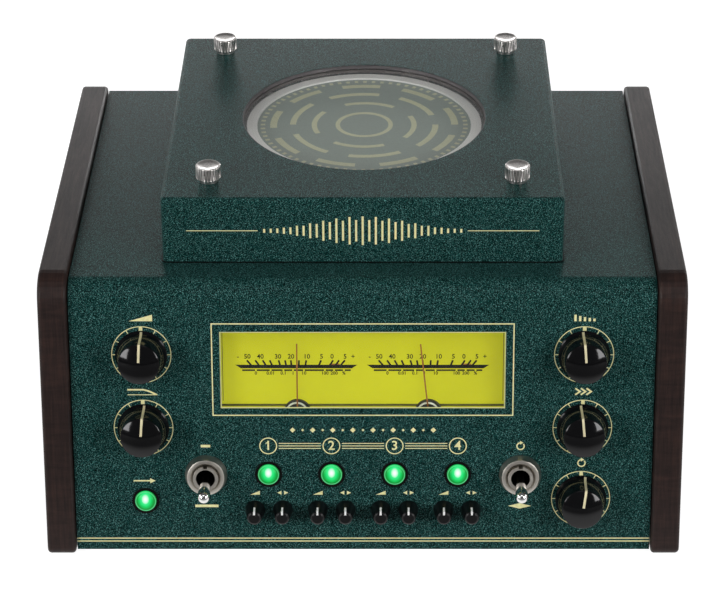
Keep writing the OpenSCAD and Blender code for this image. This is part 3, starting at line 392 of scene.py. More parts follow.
def powder_green():
    """Dark green sparkle powder coat: a pebbled skin with pale flakes in it."""
    finish = Finish("powder_green", (0.004, 0.04, 0.036), 0.34, Specular_IOR_Level=0.06)
    grain = finish.noise(2400, 1, turn=COAT_TURN)
    skin = finish.ramp(grain, [(0.38, (0.0, 0.002, 0.0015)), (0.52, (0.0008, 0.017, 0.015)),
                               (0.66, (0.012, 0.08, 0.073))])
    flake = finish.ramp(finish.noise(2800, 0, turn=COAT_TURN), [(0.61, 0.0), (0.71, 1.0)])
    finish.wire(finish.mix(flake, skin, (0.12, 0.28, 0.265)), "Base Color")
    finish.wire(finish.ramp(flake, [(0.0, 0.35), (1.0, 0.25)]), "Roughness")
    finish.bump(finish.noise(1700, 2, turn=COAT_TURN), 0.7, 0.14 * MM)
    return finish.material


def gold_print():
    """Screen printed gold ink, a little uneven."""
    finish = Finish("gold_print", (0.86, 0.81, 0.42), 0.42)
    worn = finish.ramp(finish.noise(900, 3), [(0.3, (0.78, 0.72, 0.34)), (0.7, (0.93, 0.89, 0.49))])
    finish.wire(worn, "Base Color")
    finish.bump(finish.noise(2600, 1), 0.15, 0.02 * MM)
    return finish.material


def dark_wood():
    """Dark stained wood: fine streaks along the board and pores under a satin finish."""
    finish = Finish("dark_wood", (0.034, 0.019, 0.017), 0.42, Specular_IOR_Level=0.2)
    streaks = finish.noise(60, 6, (16, 1, 0.9), 0.6, 0.3)
    boards = finish.noise(46, 5, (1, 0.35, 7), 0.6, 0.4)
    grain = finish.math("ADD", finish.math("MULTIPLY", streaks, 0.5), finish.math("MULTIPLY", boards, 0.5))
    stops = [(0.34, (0.011, 0.0065, 0.006)), (0.5, (0.022, 0.0125, 0.011)), (0.66, (0.04, 0.021, 0.017))]
    finish.wire(finish.ramp(grain, stops), "Base Color")
    finish.wire(finish.ramp(grain, [(0.3, 0.5), (0.7, 0.38)]), "Roughness")
    pores = finish.ramp(finish.noise(420, 4, (6, 0.5, 0.5), 0.6), [(0.35, 0.0), (0.5, 1.0)])
    finish.bump(pores, 0.2, 0.15 * MM)
    return finish.material


# Scales of grain and haze on plated metal, and of grain on mouldings
PLATE_GRAIN = 2500
PLATE_HAZE = PLATE_GRAIN / 12
MOULD_GRAIN = 1600


def plated(name, color, roughness, depth=0.06, metallic=1.0):
    """Plated metal with a faint unevenness."""
    finish = Finish(name, color, roughness, metallic)
    haze = finish.noise(PLATE_HAZE, 3)
    finish.wire(finish.ramp(haze, [(0.3, roughness * 0.8), (0.7, roughness * 1.25)]), "Roughness")
    finish.wire(finish.mix(haze, color, shade(color, 0.86)), "Base Color")
    finish.bump(finish.noise(PLATE_GRAIN, 2), depth, 0.02 * MM)
    return finish.material


def streaked(finish, streaks, color, roughness, dark, depth):
    """Worked metal, darker and rougher in its streaks."""
    finish.wire(finish.mix(streaks, shade(color, dark), color), "Base Color")
    finish.wire(finish.ramp(streaks, [(0.3, roughness * 1.3), (0.7, roughness * 0.8)]), "Roughness")
    finish.bump(streaks, depth, 0.02 * MM)
    return finish.material


def brushed(name, color, roughness, stretch):
    """Brushed metal with streaks across the stretched axes."""
    finish = Finish(name, color, roughness, 1.0)
    return streaked(finish, finish.noise(500, 4, stretch, 0.6), color, roughness, 0.8, 0.12)


def turned(name, color, roughness, axis, metallic):
    """Turned metal with fine rings round an upright axis."""
    finish = Finish(name, color, roughness, metallic)
    offset = finish.places((1, 1, 0), (-axis.x, -axis.y, 0))
    links = {"W": finish.length(offset), "Scale": 2400.0, "Detail": 3.0}
    rings = finish.add("ShaderNodeTexNoise", links, noise_dimensions="1D").outputs["Fac"]
    return streaked(finish, rings, color, roughness, 0.85, 0.1)


def moulded(name, color, roughness, depth=0.12, **sockets):
    """Moulded plastic or rubber with a fine grain."""
    finish = Finish(name, color, roughness, **sockets)
    cloud = finish.noise(140, 3)
    finish.wire(finish.mix(cloud, shade(color, 0.75), shade(color, 1.3)), "Base Color")
    finish.wire(finish.ramp(cloud, [(0.3, roughness * 0.85), (0.7, min(1, roughness * 1.15))]), "Roughness")
    finish.bump(finish.noise(MOULD_GRAIN, 2), depth, 0.03 * MM)
    return finish.material


def circuit_board():
    """Solder mask over a faint net of tracks."""
    finish = Finish("circuit_board", (0.02, 0.12, 0.05), 0.4)
    links = {"Vector": finish.places(), "Scale": 60.0, "Color1": (0.02, 0.12, 0.05),
             "Color2": (0.03, 0.15, 0.06), "Mortar": (0.05, 0.2, 0.09), "Mortar Size": 0.03}
    tracks = finish.add("ShaderNodeTexBrick", links)
    finish.wire(tracks.outputs["Color"], "Base Color")
    finish.bump(tracks.outputs["Fac"], 0.2, 0.05 * MM)
    return finish.material


def lit_dial():
    """Backlit yellow dial, brightest above its lower edge."""
    finish = Finish("lit_dial", (0.3, 0.3, 0.02), 0.55, Specular_IOR_Level=0.1)
    low, high = panel_span("meter_dial")
    rise = finish.math("SUBTRACT", finish.part("Object", "Z"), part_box("meter_dial")[0].z)
    height = finish.math("DIVIDE", rise, (high.y - low.y) * UP.z)
    cloud = finish.noise(18, 2)
    glow = finish.math("ADD", finish.math("MULTIPLY", cloud, 0.35), finish.math("MULTIPLY", height, -0.3))
    stops = [(0.25, (0.44, 0.42, 0.008)), (0.75, (0.60, 0.60, 0.012))]
    finish.wire(finish.ramp(finish.math("ADD", glow, 0.5), stops), "Emission Color")
    finish.wire(0.56, "Emission Strength")
    finish.wire(finish.mix(cloud, (0.20, 0.20, 0.003), (0.25, 0.25, 0.005)), "Base Color")
    return finish.material


def clear_plastic(name, tint, roughness):
    """Clear plastic that lets light through to what lies behind it."""
    finish = Finish(name, tint, roughness, Transmission_Weight=1.0, IOR=1.46, Specular_IOR_Level=0.3)
    smear = finish.noise(60, 3)
    finish.wire(finish.ramp(smear, [(0.3, roughness * 0.6), (0.7, roughness * 1.5)]), "Roughness")
    through = finish.add("ShaderNodeBsdfTransparent", {"Color": tint}).outputs[0]
    finish.show("Material Output", finish.ray("Is Shadow Ray"), finish.shader.outputs[0], through)
    return finish.material


def lit_green():
    """Green lens with a lamp behind it: white over the lamp, green towards the rim, with a pale glow painted
    on its bead.
    """
    finish = Finish("lit_green", (0.004, 0.09, 0.02), 0.3, Specular_IOR_Level=0.15)
    wide, tall = (share / LENS_R for share in SPOT_STRETCH)
    spot = finish.length(finish.places((wide, tall, 0), (0, -tall * LAMP_RISE, 0)))
    stops = [(0.10, (1.0, 1.0, 1.0)), (0.28, (0.60, 1.0, 0.76)), (0.44, (0.04, 0.86, 0.26)),
             (0.7, (0.003, 0.60, 0.11)), (0.95, (0.0, 0.27, 0.03))]
    radius = finish.length(finish.places((1 / LENS_R, 1 / LENS_R, 0)))
    # A pale ring of painted glow over the lens's bead
    bead = finish.ramp(radius, [(0.89, 0.0), (0.92, 1.0), (0.95, 1.0), (0.98, 0.0)])
    finish.wire(finish.mix(bead, finish.ramp(spot, stops), (0.16, 0.62, 0.32)), "Emission Color")
    finish.wire(0.95, "Emission Strength")
    return finish.material


def flat_ink(name, color, roughness, **sockets):
    """Ink or paint in one colour with a faint mottle."""
    finish = Finish(name, color, roughness, **sockets)
    cloud = finish.noise(800, 2)
    finish.wire(finish.mix(cloud, shade(color, 0.85), shade(color, 1.15)), "Base Color")
    finish.bump(finish.noise(2400, 1), 0.1, 0.02 * MM)
    return finish.material


DRUM_AXIS = POINTS["drum_spin"]
GREEN = powder_green()
GOLD = gold_print()
WOOD = dark_wood()
NICKEL = plated("nickel", (0.52, 0.49, 0.44), 0.42)
POINTER = plated("brass_pointer", (1.0, 0.90, 0.58), 0.4, metallic=0.55)
CHROME = plated("chrome_lever", (0.78, 0.77, 0.76), 0.13, depth=0.03)
KNURLED = plated("knurled_nickel", (0.70, 0.67, 0.65), 0.3)
ZINC = brushed("zinc_steel", (0.45, 0.46, 0.47), 0.38, (1, 12, 12))
BLACK_STEEL = plated("black_steel", (0.06, 0.06, 0.062), 0.4)
ALUMINIUM = brushed("deck_aluminium", (0.62, 0.63, 0.64), 0.34, (1, 14, 14))
RIM_METAL = turned("drum_aluminium", (0.82, 0.80, 0.82), 0.5, DRUM_AXIS, 0.6)
STEEL = plated("spindle_steel", (0.55, 0.56, 0.57), 0.25)
BRONZE = plated("bearing_bronze", (0.55, 0.4, 0.2), 0.3)
HEAD_METAL = brushed("head_metal", (0.6, 0.6, 0.6), 0.26, (10, 10, 1))
RUBBER = moulded("foot_rubber", (0.025, 0.025, 0.025), 0.8)
BOARD = circuit_board()
BLACK_PLASTIC = moulded("black_plastic", (0.012, 0.012, 0.012), 0.42)
BEZEL_BLACK = moulded("bezel_black", (0.002, 0.002, 0.002), 0.5, Specular_IOR_Level=0.12)
KNOB_BLACK = moulded("knob_black", (0.0025, 0.0025, 0.003), 0.1, depth=0.02, Specular_IOR_Level=0.3)
SMALL_BLACK = moulded("small_knob_black", (0.003, 0.003, 0.0035), 0.34, Specular_IOR_Level=0.25)
# A dark grey painted as the shade on the round window's wall
LINER_SHADE = moulded("window_liner_shade", (0.075, 0.068, 0.071), 0.4)
DIAL = lit_dial()
CLEAR = clear_plastic("clear_plastic", (0.97, 0.98, 0.95), 0.0)
LIT_GREEN = lit_green()
DISC_GREY = flat_ink("drum_print", (0.115, 0.15, 0.14), 0.45)
OLIVE = flat_ink("drum_motif", (0.34, 0.34, 0.215), 0.45)
RED = flat_ink("needle_red", (0.21, 0.07, 0.003), 0.5)
SHADE = flat_ink("dial_shade", (0.075, 0.068, 0.008), 0.6)
# A pale colour painted as the highlight along the meter window's edge
WINDOW_EDGE_HIGHLIGHT = flat_ink("window_edge_highlight", (0.72, 0.74, 0.36), 0.3)
# A pale colour painted as the highlight on the meters' pivot caps
COIL_HIGHLIGHT = flat_ink("coil_ring_highlight", (0.62, 0.64, 0.55), 0.4)
WHITE = flat_ink("white_paint", (0.85, 0.85, 0.84), 0.45)
INK = flat_ink("dial_ink", (0.003, 0.003, 0.002), 0.6, Specular_IOR_Level=0.1)

NODE_FINISHES = [
    (GREEN, ["chassis_shell", "rear_panel", "drum_cover"]),
    (WOOD, ["left_cheek", "right_cheek"]),
    (ZINC, ["base_plate", "head_brackets", "drive_motor"]),
    (RUBBER, ["rubber_feet", "drive_belt"]),
    (BLACK_STEEL, ["housing_screws"]),
    (ALUMINIUM, ["drum_deck", "cover_posts"]),
    (RIM_METAL, ["drum_wheel"]),
    (STEEL, ["drum_spindle", "pot_bodies"]),
    (BRONZE, ["spindle_bearing", "motor_pulley"]),
    (HEAD_METAL, ["erase_head", "record_head", "playback_heads"]),
    (BOARD, ["main_board", "control_board"]),
    (BLACK_PLASTIC, ["mini_pots", "meter_housing", "audio_jacks", "dc_socket"]),
    (BEZEL_BLACK, ["button_housings"]),
    (NICKEL, ["panel_nuts", "toggle_bodies"]),
    (DIAL, ["meter_dial"]),
    (CLEAR, ["meter_window", "window_pane"]),
    (DISC_GREY, ["drum_disc"]),
    (RED, ["left_needle", "right_needle"]),
]


# Edges that the light catches, as node and width of the bevel in mm
SOFT_EDGES = {
    "toggle_bodies": 0.3, "button_housings": 0.25, "drum_wheel": 0.3, "chassis_shell": 0.4, "rear_panel": 0.3,
    "audio_jacks": 0.25, "dc_socket": 0.3, "rubber_feet": 0.4, "drum_deck": 0.3, "base_plate": 0.3,
}
# Only edges sharper than this get a bevel
SOFT_ANGLE = math.radians(40)
SOFT_STEPS = 2


def dress_nodes():
    """Gives each carried-over node its finish, and some of them softened edges."""
    for material, names in NODE_FINISHES:
        for name in names:
            NODES[name].data.materials.clear()
            NODES[name].data.materials.append(material)
    for name, width in SOFT_EDGES.items():
        bevel = NODES[name].modifiers.new("soft_edges", "BEVEL")
        bevel.width = width * MM
        bevel.segments = SOFT_STEPS
        bevel.limit_method = "ANGLE"
        bevel.angle_limit = SOFT_ANGLE


# Knobs

SKIRT_R = 12.1 * MM
SKIRT_LOW = 0.8 * MM
SKIRT_TOP = 1.7 * MM
SKIRT_EDGE = 0.25 * MM
FLARE_TURN = math.radians(42)
FLARE_STEPS = 10
FOOT_R = 12 * MM
WAIST_R = 10.4 * MM
FLARE_R = (FOOT_R - WAIST_R) / (1 - math.cos(FLARE_TURN))
WAIST = SKIRT_TOP + FLARE_R * math.sin(FLARE_TURN)
RIM_R = 9.6 * MM
RIM = 14.0 * MM
RIM_EDGE = 0.5 * MM
KNOB_TOP = 16.4 * MM
DOME_SHARES = (0.9, 0.8, 0.6, 0.4, 0.2, 0)
HOLLOW_R = 7.5 * MM
KNOB_INSIDE = [(0, -8), (3, -8), (3, 4.8), (7.5, 4.8)]
POINTER_W = 1.1 * MM
POINTER_FOOT = SKIRT_TOP + 0.3 * MM
POINTER_END = 1.7 * MM
POINTER_RISE = 0.14 * MM


def large_knob(name):
    """A glossy knob that flares to a thin skirt, with a gold pointer up its side and over its domed face."""
    place = at_joint(f"{name}_turn") @ Matrix.Rotation(-rest_angle(f"{name}_turn"), 4, "Z")
    turns = [FLARE_TURN * (1 - k / FLARE_STEPS) for k in range(FLARE_STEPS + 1)]
    flare = [(WAIST_R + FLARE_R * (1 - math.cos(a)), WAIST - FLARE_R * math.sin(a)) for a in turns]
    skirt = [(HOLLOW_R, SKIRT_LOW), (SKIRT_R, SKIRT_LOW), (SKIRT_R, SKIRT_TOP), flare[0]]
    skirt = filleted(skirt, [SKIRT_EDGE, SKIRT_EDGE])
    dome = [(RIM_R * share, KNOB_TOP - (KNOB_TOP - RIM) * share ** 2) for share in DOME_SHARES]
    outside = filleted([flare[-1], (RIM_R, RIM), dome[0]], [RIM_EDGE])
    outside = skirt[:-1] + flare[:-1] + outside + dome[1:]
    mesh = bmesh.new()
    add_lathe(mesh, in_mm(KNOB_INSIDE) + outside, STEPS_MANY)
    knob = f"{name}_knob"
    make_piece(f"{name}_knob_body", mesh, knob, KNOB_BLACK, place, [knob])
    line = [p for p in outside if p[1] > POINTER_FOOT][:-2] + [(POINTER_END, KNOB_TOP)]
    mesh = bmesh.new()
    add_strip(mesh, line, POINTER_W, POINTER_RISE)
    make_piece(f"{name}_pointer", mesh, knob, POINTER, place)


def add_strip(mesh, line, width, rise):
    """Adds a raised strip that follows a turned shape's side, along +Y."""
    sections = []
    for k, (r, z) in enumerate(line):
        before, after = Vector(line[max(k - 1, 0)]), Vector(line[min(k + 1, len(line) - 1)])
        along = (after - before).normalized()
        outward = Vector((along.y, -along.x))
        low, high = Vector((r, z)) - outward * rise, Vector((r, z)) + outward * rise
        corners = [(-width / 2, *low), (width / 2, *low), (width / 2, *high), (-width / 2, *high)]
        sections.append([mesh.verts.new(corner) for corner in corners])
    for lower, upper in zip(sections, sections[1:]):
        for k in range(4):
            n = (k + 1) % 4
            mesh.faces.new([lower[k], lower[n], upper[n], upper[k]])
    mesh.faces.new(sections[0][::-1])
    mesh.faces.new(sections[-1])


MINI_BASE_R = 4.75 * MM
MINI_RIM_R = 3.25 * MM
MINI_FACE_R = 2.5 * MM
MINI_LOW = 0.6 * MM
MINI_TOP = 11.8 * MM
MINI_BEVEL = 0.6 * MM
MINI_DISH = 0.1 * MM
MINI_EDGES = [0.35 * MM, 0.3 * MM, 0.3 * MM]
MINI_STEM_R = 1.5 * MM
MINI_STEM_END = -12 * MM
MINI_LINE_W = 0.95 * MM
MINI_LINE_LOW = 7.4 * MM
MINI_LINE_FACE = 1.7 * MM
MINI_LINE_RISE = 0.06 * MM


def small_knob(name):
    """A tapered knob with a white line along its upper side."""
    place = at_joint(f"{name}_turn")
    rim = MINI_TOP - MINI_BEVEL
    outside = [(MINI_STEM_R, MINI_LOW), (MINI_BASE_R, MINI_LOW), (MINI_RIM_R, rim),
               (MINI_FACE_R, MINI_TOP), (0, MINI_TOP - MINI_DISH)]
    outside = filleted(outside, MINI_EDGES)
    mesh = bmesh.new()
    add_lathe(mesh, [(0, MINI_STEM_END), (MINI_STEM_R, MINI_STEM_END)] + outside, STEPS_FEW)
    make_piece(f"{name}_body", mesh, name, SMALL_BLACK, place, [name])
    slope = (MINI_RIM_R - MINI_BASE_R) / (rim - MINI_LOW)
    start = (MINI_BASE_R + slope * (MINI_LINE_LOW - MINI_LOW), MINI_LINE_LOW)
    line = [start] + [p for p in outside if p[1] > rim - MINI_BEVEL][:-1] + [(MINI_LINE_FACE, MINI_TOP)]
    mesh = bmesh.new()
    add_strip(mesh, line, MINI_LINE_W, MINI_LINE_RISE)
    make_piece(f"{name}_line", mesh, name, WHITE, place)


# Toggle switches and buttons

LEVER_SHAFT = [(0, -4.5), (1.9, -4.5), (1.9, 3), (2.1, 6), (2.55, 10), (2.9, 14)]
LEVER_END = 20.95 * MM
LEVER_TIP_R = 3 * MM
TIP_STEPS = 16
LEVER_TILT = math.radians(sum(JOINTS["left_toggle"]["range_deg"]) / 2)


def toggle_lever(side):
    """A chromed bat lever, thickest just before its round end."""
    place = at_joint(f"{side}_toggle") @ Matrix.Rotation(LEVER_TILT, 4, "X")
    centre = LEVER_END - LEVER_TIP_R
    dome = [(x, centre + y) for x, y in circle_points(LEVER_TIP_R, 0, math.pi / 2, TIP_STEPS)[:-1]]
    mesh = bmesh.new()
    add_lathe(mesh, in_mm(LEVER_SHAFT) + dome + [(0, LEVER_END)], STEPS_FEW)
    node = f"{side}_toggle_lever"
    make_piece(f"{side}_lever_bat", mesh, f"{side}_lever", CHROME, place, [node])


# Dress nuts, lock nuts and the wells that the levers swing in, in mm from the panel. The wells are black
# sleeves in the bushes' bores, painted shade for the dark inside of the holes
DRESS_NUT = [(6.2, 0), (9.9, 0), (9.9, 0.5), (8.75, 4.05), (8.5, 4.2), (7.1, 4.2), (6.9, 4.05), (6.2, 3.2)]
LEVER_WELL_SHADE = [(0, -8.7), (4.3, -8.7), (4.3, 5.1), (4.46, 5.1), (4.46, -8.9), (0, -8.9)]
RING_NUT = [(5.95, -4), (7.5, -4), (7.5, -2), (5.95, -2)]
# Hexagon nuts, as flats, bore radius and thickness in mm
POT_NUT = (10.5, 4.1, 2.0)
JACK_NUT = (13.0, 4.8, 2.2)
# Their chamfers in mm, and shares of the flats: where the face ends and the hexagon begins
NUT_CHAMFER = 0.4
BORE_CHAMFER = 0.3
NUT_FACE = 0.97 / 2
HEX_FROM = 0.45
JACK_FIRST = -20 * MM
JACK_PITCH = 28 * MM
JACK_COUNT = 5


def hex_radius(flats):
    """Radius of a hexagon by angle, cut back to a round edge towards the nut's ends."""
    def radius_at(r, z, angle):
        sector = (angle + math.pi / 6) % (math.pi / 3) - math.pi / 6
        return min(r, flats / 2 * MM / math.cos(sector)) if r > flats * HEX_FROM * MM else r
    return radius_at


def add_hex_nut(mesh, nut, place):
    """Adds a chamfered hexagon nut."""
    flats, bore, thick = nut
    corner = flats / 2 / math.cos(math.pi / 6)
    profile = [(bore, 0), (corner, 0), (corner, thick - NUT_CHAMFER), (flats * NUT_FACE, thick),
               (bore + BORE_CHAMFER, thick), (bore, thick - BORE_CHAMFER)]
    add_lathe(mesh, in_mm(profile), STEPS, place, hex_radius(flats), closed=True)


def toggle_place(side, up=0.0):
    """Place on the panel at, or above, the middle of a toggle switch."""
    return on_panel(POINTS[f"{side}_toggle"].x, panel_middle("toggle_bodies")[1] + up)


def panel_nuts():
    """The nuts round toggles, potentiometers, buttons and jacks."""
    mesh = bmesh.new()
    for side in SIDES:
        add_lathe(mesh, in_mm(DRESS_NUT), STEPS, toggle_place(side), closed=True)
    for name in LARGE_KNOBS:
        add_hex_nut(mesh, POT_NUT, at_joint(f"{name}_turn"))
    for name in BUTTONS:
        add_lathe(mesh, in_mm(RING_NUT), STEPS_FEW, on_panel(*panel_middle(name)), closed=True)
    low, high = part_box("audio_jacks")
    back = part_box("rear_panel")[1].y
    for k in range(JACK_COUNT):
        place = Matrix.Translation((JACK_FIRST + k * JACK_PITCH, back, (low.z + high.z) / 2))
        add_hex_nut(mesh, JACK_NUT, place @ Matrix.Rotation(-math.pi / 2, 4, "X"))
    make_piece("panel_nuts_cut", mesh, "housing", NICKEL, replaces=["panel_nuts"])
    # Black sleeves inside the toggle bushes: painted shade deep in their holes
    mesh = bmesh.new()
    for side in SIDES:
        add_lathe(mesh, in_mm(LEVER_WELL_SHADE), STEPS_FEW, toggle_place(side))
    make_piece("lever_well_shade", mesh, "housing", BEZEL_BLACK)


BUTTON_LOW = -3.6 * MM
BUTTON_RIM = 1.2 * MM
BUTTON_TOP = 2.8 * MM
BEAD_R = 4.62 * MM
BEAD_RISE = 0.12 * MM
BEAD_DIP = 0.1 * MM
BEAD_EDGES = [0.2 * MM, 0.25 * MM, 0.06 * MM]
DOME_R = 4.5 * MM
DOME_STEPS = 12


def lit_button(name):
    """A domed lens inside a thin bead."""
    x, up = panel_middle(name)
    foot = BUTTON_RIM - BEAD_DIP
    bead = [(0, BUTTON_LOW), (LENS_R, BUTTON_LOW), (LENS_R, BUTTON_RIM), (BEAD_R, BUTTON_RIM + BEAD_RISE),
            (DOME_R, foot)]
    bead = filleted(bead, BEAD_EDGES)
    arc = circle_points(1, 0, math.pi / 2, DOME_STEPS)[1:-1]
    dome = [(DOME_R * x, foot + (BUTTON_TOP - foot) * y) for x, y in arc]
    mesh = bmesh.new()
    add_lathe(mesh, bead + dome + [(0, BUTTON_TOP)], STEPS_FEW)
    make_piece(f"{name}_lens", mesh, name, LIT_GREEN, on_panel(x, up), [name])


# Thumbscrews

KNURLS = 26
KNURL_STEPS = 8
KNURL_DEPTH = 0.55 * MM
THUMB_SHANK = 15 * MM
THUMB_PROFILE = [(0, -15), (2.5, -15), (2.5, 0), (4.5, 0), (4.5, 1), (4.85, 1), (5.85, 2), (5.85, 2.25),
                 (5.85, 7.5), (5.78, 7.75), (5.45, 8.1), (5.0, 8.1), (4.8, 7.95), (2.5, 7.8), (0, 7.75)]
KNURL_LOW = 2.1 * MM
KNURL_HIGH = 7.7 * MM


def knurled(r, z, angle):
    """Radius of the head, cut by upright grooves over its side."""
    if not KNURL_LOW < z < KNURL_HIGH:
        return r
    wave = abs((angle * KNURLS / (2 * math.pi)) % 1 - 0.5) * 2
    return r - KNURL_DEPTH * max(0.0, 1 - 2 * wave)


def thumbscrew(name):
    """A nickel thumbscrew with a straight knurl."""
    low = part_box(name)[0]
    axis = POINTS[f"{name}_turn"]
    place = Matrix.Translation((axis.x, axis.y, low.z + THUMB_SHANK))
    mesh = bmesh.new()
    add_lathe(mesh, in_mm(THUMB_PROFILE), KNURLS * KNURL_STEPS, radius_at=knurled)
    make_piece(f"{name}_knurled", mesh, name, KNURLED, place, [name])


# Print on the front panel

DIAL_R = 13.75 * MM
DIAL_TICK = 2.2 * MM
DIAL_BLOCK_W = 1.7 * MM
DIAL_STEP = math.radians(30)
DIAL_SIDE = 5
LABEL_RISE = 18 * MM


def add_dial(mesh, name):
    """Ring with ticks round a large knob, and a block at its middle."""
    place = at_joint(f"{name}_turn")
    add_ring(mesh, DIAL_R, THIN_LINE, place)
    for step in range(-DIAL_SIDE, DIAL_SIDE + 1):
        turn = place @ Matrix.Rotation(-DIAL_STEP * step, 4, "Z")
        width = DIAL_BLOCK_W if step == 0 else THIN_LINE
        add_plate(mesh, bar(0, DIAL_R - DIAL_TICK / 2, width, DIAL_TICK), turn)


def wedge(width, height):
    return [(-width / 2, -height / 2), (width / 2, -height / 2), (width / 2, height / 2)]


def arrow(x, y, width, height):
    return [(x - width / 2, y - height / 2), (x + width / 2, y), (x - width / 2, y + height / 2)]


# Small plain pictograms for what a control does, as outlines in millimetres
MARK_H = 3.2
MARK_LINE = 0.8
ECHO_HEIGHTS = [MARK_H * 0.8 ** k for k in range(5)]
LOOP = circle_points(1.7, math.radians(100), math.radians(400), ARC_STEPS)
MARKS = {
    "gain": [wedge(11, MARK_H)],
    "tone": [band([(-7, 0.9), (0.5, 0.9), (3, 0.2), (6.5, -1.5)], MARK_LINE),
             bar(0, -1.6, 14, THIN_LINE / MM)],
    "echo": [bar((k - 2) * 2.2, (h - MARK_H) / 2, 1.1, h) for k, h in enumerate(ECHO_HEIGHTS)],
    "speed": [band([(x - 1.1, MARK_H / 2), (x + 1.1, 0), (x - 1.1, -MARK_H / 2)], MARK_LINE)
              for x in (-2.6, 0, 2.6)],
    "repeat": [band(LOOP, 0.6), arrow(0.5, 1.7, 1.6, 1.9)],
    "short": [bar(0, 0, 4.5, 1.3)],
    "long": [bar(0, 0, 11, 1.3)],
    "swell": [[(-5.5, 0), (0, 1.4), (5.5, 0), (0, -1.4)]],
    "through": [bar(-1.5, 0, 8, 0.7), arrow(3.6, 0, 2.6, 2.6)],
    "volume": [wedge(4.6, 2)],
    "balance": [arrow(1.6, 0, 2, 2), arrow(-1.6, 0, -2, 2)],
}


def add_mark(mesh, kind, place):
    for outline in MARKS[kind]:
        add_plate(mesh, in_mm(outline), place)


TOGGLE_MARKS = {"left": ("short", "long"), "right": ("repeat", "swell")}
TOGGLE_ABOVE = 14.5 * MM
TOGGLE_BELOW = 15.8 * MM
BYPASS_ABOVE = 10 * MM
MINI_ABOVE = 8.3 * MM


def control_print():
    """Gold rings and marks round the controls."""
    mesh = bmesh.new()
    for name in LARGE_KNOBS:
        add_dial(mesh, name)
        add_mark(mesh, name, at_joint(f"{name}_turn", LABEL_RISE))
    for side, (above, below) in TOGGLE_MARKS.items():
        add_mark(mesh, above, toggle_place(side, TOGGLE_ABOVE))
        add_mark(mesh, below, toggle_place(side, -TOGGLE_BELOW))
    x, up = panel_middle("bypass_button")
    add_mark(mesh, "through", on_panel(x, up + BYPASS_ABOVE))
    for name in SMALL_KNOBS:
        add_mark(mesh, name.split("_")[0], at_joint(f"{name}_turn", MINI_ABOVE))
    make_piece("control_print", mesh, "housing", GOLD)


BORDER_TOP = -19.1 * MM
BORDER_LOW = -64.2 * MM
BORDER_HALF = 70.1 * MM
STRIPE_ROWS = [-126.5 * MM, -128.0 * MM]
NUMBER_RISE = 14.2 * MM
NUMBER_R = 3.95 * MM
NUMBER_LINE = 0.5 * MM
NUMBER_H = 4.5 * MM
NUMBER_WEIGHT = 0.1 * MM
ONE_FLAG = [(-1.15 * MM, 1.25 * MM), (0.1 * MM, 1.95 * MM)]
JOIN_GAP = 1 * MM
JOIN_STEP = 1.25 * MM
HEADING_ROW = -71.6 * MM
HEADING_HALF = 33 * MM
HEADING_DOTS = 15
DOT_SIZES = [1.3 * MM, 0.7 * MM]


def panel_trim():
    """Gold border round the meters, numbered circles, pinstripes and a row of dots."""
    mesh = bmesh.new()
    for up in (BORDER_TOP, BORDER_LOW):
        add_plate(mesh, bar(0, 0, 2 * BORDER_HALF + BORDER_LINE, BORDER_LINE), on_panel(0, up))
    tall = BORDER_TOP - BORDER_LOW - BORDER_LINE
    for side in (-1, 1):
        middle = on_panel(side * BORDER_HALF, (BORDER_TOP + BORDER_LOW) / 2)
        add_plate(mesh, bar(0, 0, BORDER_LINE, tall), middle)
    low, high = panel_span("chassis_shell")
    for up in STRIPE_ROWS:
        add_plate(mesh, bar((low.x + high.x) / 2, 0, high.x - low.x, BORDER_LINE), on_panel(0, up))
    spots = [panel_middle(name) for name in HEAD_BUTTONS]
    for k, (x, up) in enumerate(spots):
        place = on_panel(x, up + NUMBER_RISE)
        add_ring(mesh, NUMBER_R, NUMBER_LINE, place, steps=STEPS_FEW)
        add_text(mesh, str(k + 1), NUMBER_H, place, NUMBER_WEIGHT)
        if k == 0:
            add_plate(mesh, band(ONE_FLAG, NUMBER_LINE), place)
    for (x, up), (after, _) in zip(spots, spots[1:]):
        length = after - x - 2 * (NUMBER_R + JOIN_GAP)
        for row in (-1, 0, 1):
            place = on_panel((x + after) / 2, up + NUMBER_RISE + row * JOIN_STEP)
            add_plate(mesh, bar(0, 0, length, THIN_LINE), place)
    for k in range(HEADING_DOTS):
        x = HEADING_HALF * (2 * k / (HEADING_DOTS - 1) - 1)
        size = DOT_SIZES[k % 2]
        diamond = [(-size, 0), (0, -size), (size, 0), (0, size)]
        add_plate(mesh, diamond, on_panel(x, HEADING_ROW))
    make_piece("panel_trim", mesh, "housing", GOLD)


ORNAMENT_BARS = 31
ORNAMENT_PITCH = 3.05 * MM
ORNAMENT_BAR_W = 1 * MM
ORNAMENT_TALL = 15 * MM
ORNAMENT_SHORT = 2 * MM
ORNAMENT_LINE_HALF = 82 * MM
ORNAMENT_RIPPLE = 0.28


def cover_ornament():
    """Gold bars on the cover's front, swelling towards the middle between two long lines."""
    low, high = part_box("drum_cover")
    place = Matrix.Translation(((low.x + high.x) / 2, low.y, (low.z + high.z) / 2))
    place = place @ Matrix.Rotation(math.pi / 2, 4, "X")
    mesh = bmesh.new()
    half = (ORNAMENT_BARS - 1) / 2
    for k in range(ORNAMENT_BARS):
        share = (1 + math.cos(math.pi * (k - half) / half)) / 2
        ripple = 1 - ORNAMENT_RIPPLE * math.sin(math.pi * (k - half) / 2) ** 2
        height = ORNAMENT_SHORT + (ORNAMENT_TALL - ORNAMENT_SHORT) * share * ripple
        add_plate(mesh, bar((k - half) * ORNAMENT_PITCH, 0, ORNAMENT_BAR_W, height), place)
    inner = (half + 1) * ORNAMENT_PITCH
    for side in (-1, 1):
        middle = side * (inner + ORNAMENT_LINE_HALF) / 2
        add_plate(mesh, bar(middle, 0, ORNAMENT_LINE_HALF - inner, THIN_LINE), place)
    make_piece("cover_ornament", mesh, "cover", GOLD)


# Level meters

